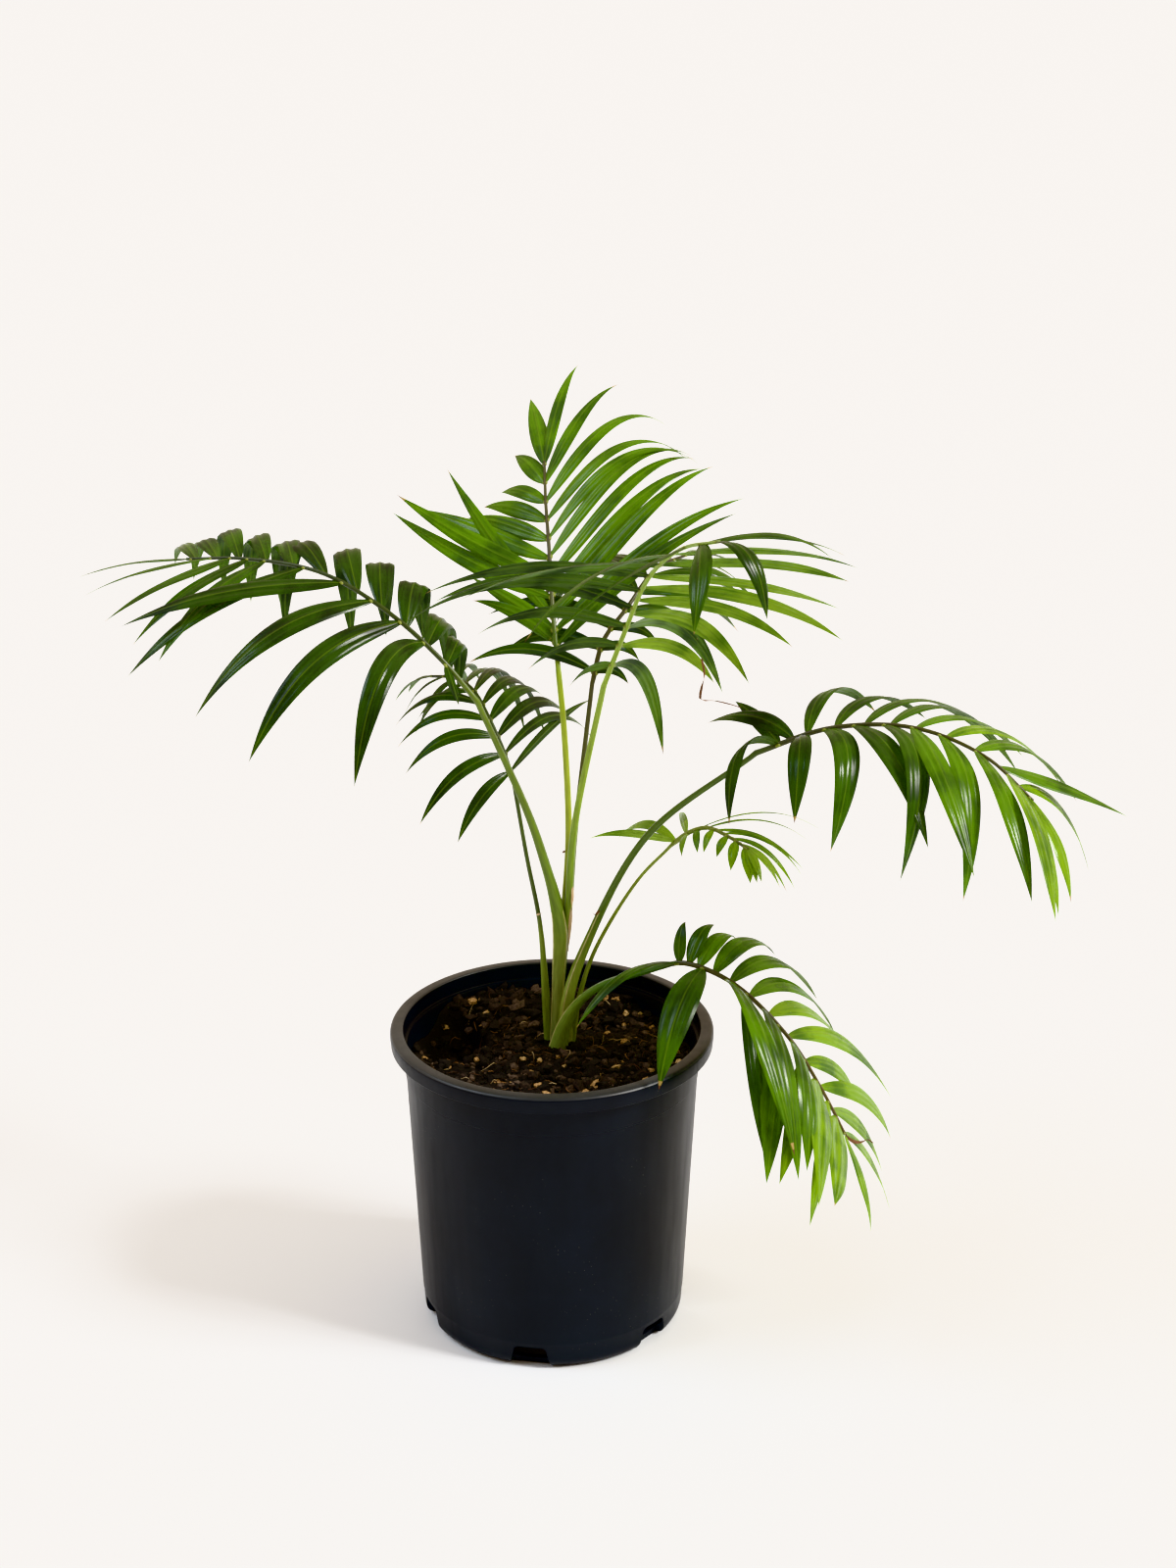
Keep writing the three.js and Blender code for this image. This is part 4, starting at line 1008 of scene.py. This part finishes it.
def soilTop(x, y):
    # height of the mix: flat at the crown, lumpy away from it, banked at the back, hollow at the left
    s = pottingMix
    away = math.hypot(x - s["crown"][0], y - s["crown"][1])
    grow = min(max((away - s["crownFlat"]) / s["reliefFrom"], 0), 1)
    broad = noise.noise(Vector((x / s["reliefScale"], y / s["reliefScale"], 3.1))) * s["relief"]
    lumps = noise.noise(Vector((x / s["lumpScale"], y / s["lumpScale"], 9.4))) * s["relief"] * s["lump"]
    crumbs = noise.noise(Vector((x / s["crumbScale"], y / s["crumbScale"], 5.2))) * s["crumb"]
    away = math.hypot(x - s["hollow"][0], (y - s["hollow"][1]) * s["hollowStretch"])
    hollow = s["hollowDepth"] * math.exp(-(away / s["hollowSpread"]) ** s["hollowEdge"])
    back = y - x * s["bankSkew"]
    slope = min(max((back - s["bankFrom"]) / (s["bankTo"] - s["bankFrom"]), 0), 1)
    bank = s["bank"] * slope * slope * (3 - 2 * slope)
    return s["height"] + bank + (broad + lumps) * grow * s["reliefGain"] + crumbs - hollow


def makeSoil():
    # a disc in many rings that takes the height of the mix, then closes down to the pot's floor
    s = pottingMix
    edge = innerRadius(s["height"]) - s["wallGap"]
    bpy.ops.mesh.primitive_circle_add(vertices=s["sides"], radius=edge * mm,
                                      location=(0, 0, s["height"] * mm))
    soil = bpy.context.object
    soil.name = "potting_mix"
    bpy.ops.object.mode_set(mode="EDIT")
    bpy.ops.mesh.select_all(action="SELECT")
    for i in range(s["rings"] - 1, 0, -1):
        shrink = i / (i + 1)
        bpy.ops.mesh.extrude_edges_move()
        bpy.ops.transform.resize(value=(shrink, shrink, 1))
    bpy.ops.mesh.merge(type="CENTER")
    bpy.ops.object.mode_set(mode="OBJECT")
    for vertex in soil.data.vertices:
        vertex.co.z = (soilTop(vertex.co.x / mm, vertex.co.y / mm)) * mm - soil.location.z
    bpy.ops.object.mode_set(mode="EDIT")
    bpy.ops.mesh.select_all(action="DESELECT")
    bpy.ops.mesh.select_mode(type="EDGE")
    bpy.ops.mesh.select_non_manifold()
    bpy.ops.mesh.extrude_edges_move()
    bpy.ops.object.mode_set(mode="OBJECT")
    lower = (nurseryPot["floor"] + 1) * mm
    for vertex in soil.data.vertices:
        if vertex.select:
            shrink = (nurseryPot["foot"] - 3) / edge
            vertex.co.x *= shrink
            vertex.co.y *= shrink
            vertex.co.z = lower - soil.location.z
    bpy.ops.object.mode_set(mode="EDIT")
    bpy.ops.mesh.edge_face_add()
    bpy.ops.mesh.select_all(action="SELECT")
    bpy.ops.mesh.normals_make_consistent(inside=False)
    bpy.ops.object.mode_set(mode="OBJECT")
    bpy.ops.object.transform_apply(location=True, rotation=True, scale=True)
    soil.data.materials.append(soilFinish())
    smooth(soil, 70)
    return soil


soil = makeSoil()
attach(soil, "root")
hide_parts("soil")

chance = random.Random(11)
crumbShape = icoShape(1)
chipShape = icoShape(2)


def roughCopy(shape, seed, jag):
    # a ball with its points pushed in and out, so that it looks broken
    points, faces = shape
    out = []
    for p in points:
        shift = noise.noise(p * 1.3 + Vector((seed * 3.7, seed * 1.9, seed * 0.7)))
        out.append(p * (1 + jag * shift))
    return out, faces


def spotOnSoil(margin):
    # a place inside the wall and clear of the crown
    s = pottingMix
    reach = innerRadius(s["height"]) - margin
    while True:
        x, y = chance.uniform(-reach, reach), chance.uniform(-reach, reach)
        if math.hypot(x, y) < reach and math.hypot(x - s["crown"][0], y - s["crown"][1]) > s["crownClear"]:
            return x, y


def scatterCrumbs():
    # many small crumbs of peat and bark, and a few clay chips
    s = pottingMix
    heap = Heap()
    crumbs = [roughCopy(crumbShape, i, s["crumbJag"]) for i in range(9)]
    chips = [roughCopy(chipShape, i + 20, s["chipJag"]) for i in range(7)]
    least, more = s["crumbSize"]
    jobs = [(crumbs, chance.choice([0, 0, 0, 0, 1, 1, 2]), least + more * chance.random() ** 3,
             s["crumbFlat"]) for _ in range(s["crumbs"])]
    jobs += [(chips, chance.choice([3, 3, 4]), chance.uniform(*s["chipSize"]), s["chipFlat"])
             for _ in range(s["chips"])]
    for choices, finish, size, flat in jobs:
        x, y = spotOnSoil(3)
        turn = Matrix.Rotation(chance.uniform(0, 6.28), 4, "Z")
        turn = turn @ Matrix.Rotation(chance.uniform(-s["tilt"], s["tilt"]), 4, "X")
        grow = Matrix.Diagonal((size * chance.uniform(*s["stretch"]), size, size * flat, 1))
        at = Vector((x, y, soilTop(x, y) + size * chance.uniform(*s["seat"])))
        heap.addCopy(chance.choice(choices), Matrix.Translation(at) @ turn @ grow, finish)
    finishes = [crumbFinish(name, *tones) for name, tones in s["crumbTones"].items()]
    return heap.build("soil_crumbs", finishes, 30)


def threadRings(points, radius, sides):
    # a thread that is thickest in its middle
    rings, places = [], []
    for i, at in enumerate(points):
        way = (points[min(i + 1, len(points) - 1)] - points[max(i - 1, 0)]).normalized()
        across = square(Vector((0.3, 0.2, 1)) if abs(way.z) < 0.9 else Vector((1, 0, 0)), way)
        over = across.cross(way)
        thick = radius * (1 - 0.6 * abs(2 * i / (len(points) - 1) - 1))
        rings.append([at + across * math.cos(t) * thick + over * math.sin(t) * thick
                      for t in (2 * math.pi * k / sides for k in range(sides))])
        places.append([(k * 0.5, i * 2.0) for k in range(sides + 1)])
    return rings, places


def scatterFibres():
    # thin roots and bark threads that lie on the mix in low arcs
    m = pottingMix
    heap = Heap()
    for i in range(m["fibres"]):
        x, y = spotOnSoil(8)
        turn = chance.uniform(0, 2 * math.pi)
        length = chance.uniform(*m["fibreLength"])
        bend = chance.uniform(-m["fibreBend"], m["fibreBend"])
        lift = chance.uniform(*m["fibreLift"])
        points = []
        for k in range(m["fibreSteps"] + 1):
            s = k / m["fibreSteps"]
            angle = turn + bend * (s - 0.5)
            px = x + math.cos(angle) * length * (s - 0.5)
            py = y + math.sin(angle) * length * (s - 0.5)
            if math.hypot(px, py) <= innerRadius(m["height"]) - 2:
                points.append(Vector((px, py, soilTop(px, py) + 0.4 + lift * math.sin(math.pi * s))))
        if len(points) < 3:
            continue
        finish = chance.choice([0, 0, 0, 1, 1, 2])
        rings, places = threadRings(points, chance.uniform(*m["fibreRadius"]), 3)
        heap.addRings(rings, places, lambda ring, column, finish=finish: finish)
    finishes = [plantFinish(name, *tones) for name, tones in m["fibreTones"].items()]
    return heap.build("soil_fibres", finishes, 80)


for piece in (scatterCrumbs(), scatterFibres()):
    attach(piece, "root")
print("potting mix done")


# dead bits that still hang on the plant: dried leaf tips, a papery sheath edge, a scar
driedBits = {
    "steps": 14,        # along one strip
    "curl": 5,          # radians that a strip turns from end to end
    "ends": 0.35,       # width at the ends, as a share of the full width
    "thick": 0.22,      # mm, half the thickness
    "finishes": {       # darker, lighter, roughness, mm across a streak
        "driedBrownLeaf": ("#4a2c16", "#7a5230", 0.75, 0.6),
        "paperySheathEdge": ("#b89c74", "#e0caa2", 0.7, 0.6),
    },
    "strips": [         # points in mm, width in mm, which finish
        ([(92, -40, 470), (94, -36, 458), (92, -34, 447), (92, -32, 441), (100, -28, 439), (111, -24, 435),
          (117, -21, 432)], 2.2, 0),
        ([(13.5, 12, 298), (13.5, 11, 291), (12.5, 11.5, 280), (11.5, 13, 266), (10.5, 14, 252)], 2.6, 1),
        ([(32, 9.5, 283), (29.5, 7.5, 282), (28, 8.5, 280), (26.5, 9, 281)], 1.5, 0),
        ([(7, 17, 320), (8, 15.5, 321), (9.5, 16, 322)], 1.6, 0),
        ([(-10, 20, 275), (-8, 19, 276), (-6.5, 20, 276)], 1.5, 1),
        ([(188, -55, 154), (193, -51, 148), (199, -46, 145), (203, -43, 145), (207, -40, 141)], 2.4, 0),
    ],
}


def ribbonRings(points, width):
    # a dry strip that twists as it goes and narrows to its ends
    d = driedBits
    path = Guide(points)
    rings, places = [], []
    for k in range(d["steps"] + 1):
        s = k / d["steps"]
        way = path.way(s)
        turn = d["curl"] * s
        wide = square(Vector((math.cos(turn), 0.4, math.sin(turn))), way)
        half = width / 2 * (d["ends"] + (1 - d["ends"]) * math.sin(math.pi * min(s + 0.08, 1)))
        over = wide.cross(way) * d["thick"]
        at = path.at(s)
        rings.append([at + wide * half, at + over, at - wide * half, at - over])
        places.append([(x * half, s * path.length) for x in (1, 0, -1, 0, 1)])
    return rings, places


def makeDriedBits():
    heap = Heap()
    for points, width, finish in driedBits["strips"]:
        rings, places = ribbonRings(points, width)
        heap.addRings(rings, places, lambda ring, column, finish=finish: finish)
    finishes = [plantFinish(name, *tones) for name, tones in driedBits["finishes"].items()]
    return heap.build("dried_bits", finishes, 60)


dried = makeDriedBits()
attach(dried, "root")
print("dried bits done")


# floor, light and camera
studio = {
    "floorSize": 60,          # metres
    "floorColour": "#f2f6fb",
    "backdrop": "#fbf9f5", "backdropStrength": 1.7,
    "air": "#ffe9cf", "airStrength": 0.92,
    "airFront": 0.4, "airBack": 1.2, "airTurn": (-0.8, 0.4),   # dim to bright between these, along Y
    "keyColour": "#fffcf8", "keyStrength": 3.7, "keySoft": 17, "keyBearing": -18, "keyHeight": 39,
    "fillColour": "#dae8fa", "fillStrength": 1.3, "fillSoft": 28, "fillBearing": 192, "fillHeight": 52,
}

view = {"place": (0.0234, -1.722, 1.041), "tilt": 68.81, "lens": 67.5, "sensor": 36}


# matt paper: almost white, without shine, so that only soft shadows show on it
def makeFloor():
    bpy.ops.mesh.primitive_plane_add(size=studio["floorSize"], location=(0, 0, 0))
    floor = bpy.context.object
    floor.name = "floor"
    material, tree = newMaterial("palePaperFloor")
    skin = addNode(tree, "BsdfPrincipled", {"Base Color": toLinear(studio["floorColour"]),
                   "Roughness": 0.9, "Specular IOR Level": 0.1})
    addNode(tree, "OutputMaterial", {0: skin})
    floor.data.materials.append(material)


def addSun(name, prefix):
    lamp = bpy.data.lights.new(name, "SUN")
    lamp.color = toLinear(studio[f"{prefix}Colour"])[:3]
    lamp.energy = studio[f"{prefix}Strength"]
    lamp.angle = math.radians(studio[f"{prefix}Soft"])
    holder = bpy.data.objects.new(name, lamp)
    bpy.context.collection.objects.link(holder)
    bearing = math.radians(studio[f"{prefix}Bearing"])
    height = math.radians(studio[f"{prefix}Height"])
    source = Vector((math.cos(bearing) * math.cos(height), math.sin(bearing) * math.cos(height),
                     math.sin(height)))
    holder.rotation_euler = source.to_track_quat("Z", "Y").to_euler()


def makeAir():
    # a warm white room, dimmer behind the camera than behind the plant
    world = bpy.data.worlds.new("studioAir")
    world.use_nodes = True
    tree = world.node_tree
    tree.nodes.clear()
    ways = addNode(tree, "SeparateXYZ", {0: addNode(tree, "TexCoord").outputs["Generated"]})
    dim, bright = studio["airTurn"]
    strength = addNode(tree, "MapRange", {"From Min": dim, "From Max": bright,
                       "To Min": studio["airFront"] * studio["airStrength"],
                       "To Max": studio["airBack"] * studio["airStrength"], "Value": ways.outputs[1]})
    air = addNode(tree, "Background", {"Color": toLinear(studio["air"]), "Strength": strength})
    # past the edge of the floor the room is seen as pale as the floor itself
    backdrop = addNode(tree, "Background", {"Color": toLinear(studio["backdrop"]),
                       "Strength": studio["backdropStrength"]})
    seen = addNode(tree, "LightPath").outputs["Is Camera Ray"]
    both = addNode(tree, "MixShader", {0: seen, 1: air, 2: backdrop})
    addNode(tree, "OutputWorld", {0: both})
    bpy.context.scene.world = world


def makeCamera():
    # level from side to side and tilted down
    lens = bpy.data.cameras.new("camera")
    lens.lens = view["lens"]
    lens.sensor_width = view["sensor"]
    lens.clip_end = 100
    camera = bpy.data.objects.new("camera", lens)
    camera.location = view["place"]
    camera.rotation_euler = (math.radians(view["tilt"]), 0, 0)
    bpy.context.collection.objects.link(camera)
    bpy.context.scene.camera = camera


makeFloor()
makeAir()
addSun("keyLight", "key")
addSun("fillLight", "fill")
makeCamera()
bpy.context.scene.view_settings.view_transform = "Khronos PBR Neutral"
bpy.context.scene.view_settings.look = "None"
print("studio done")

bpy.context.view_layer.update()
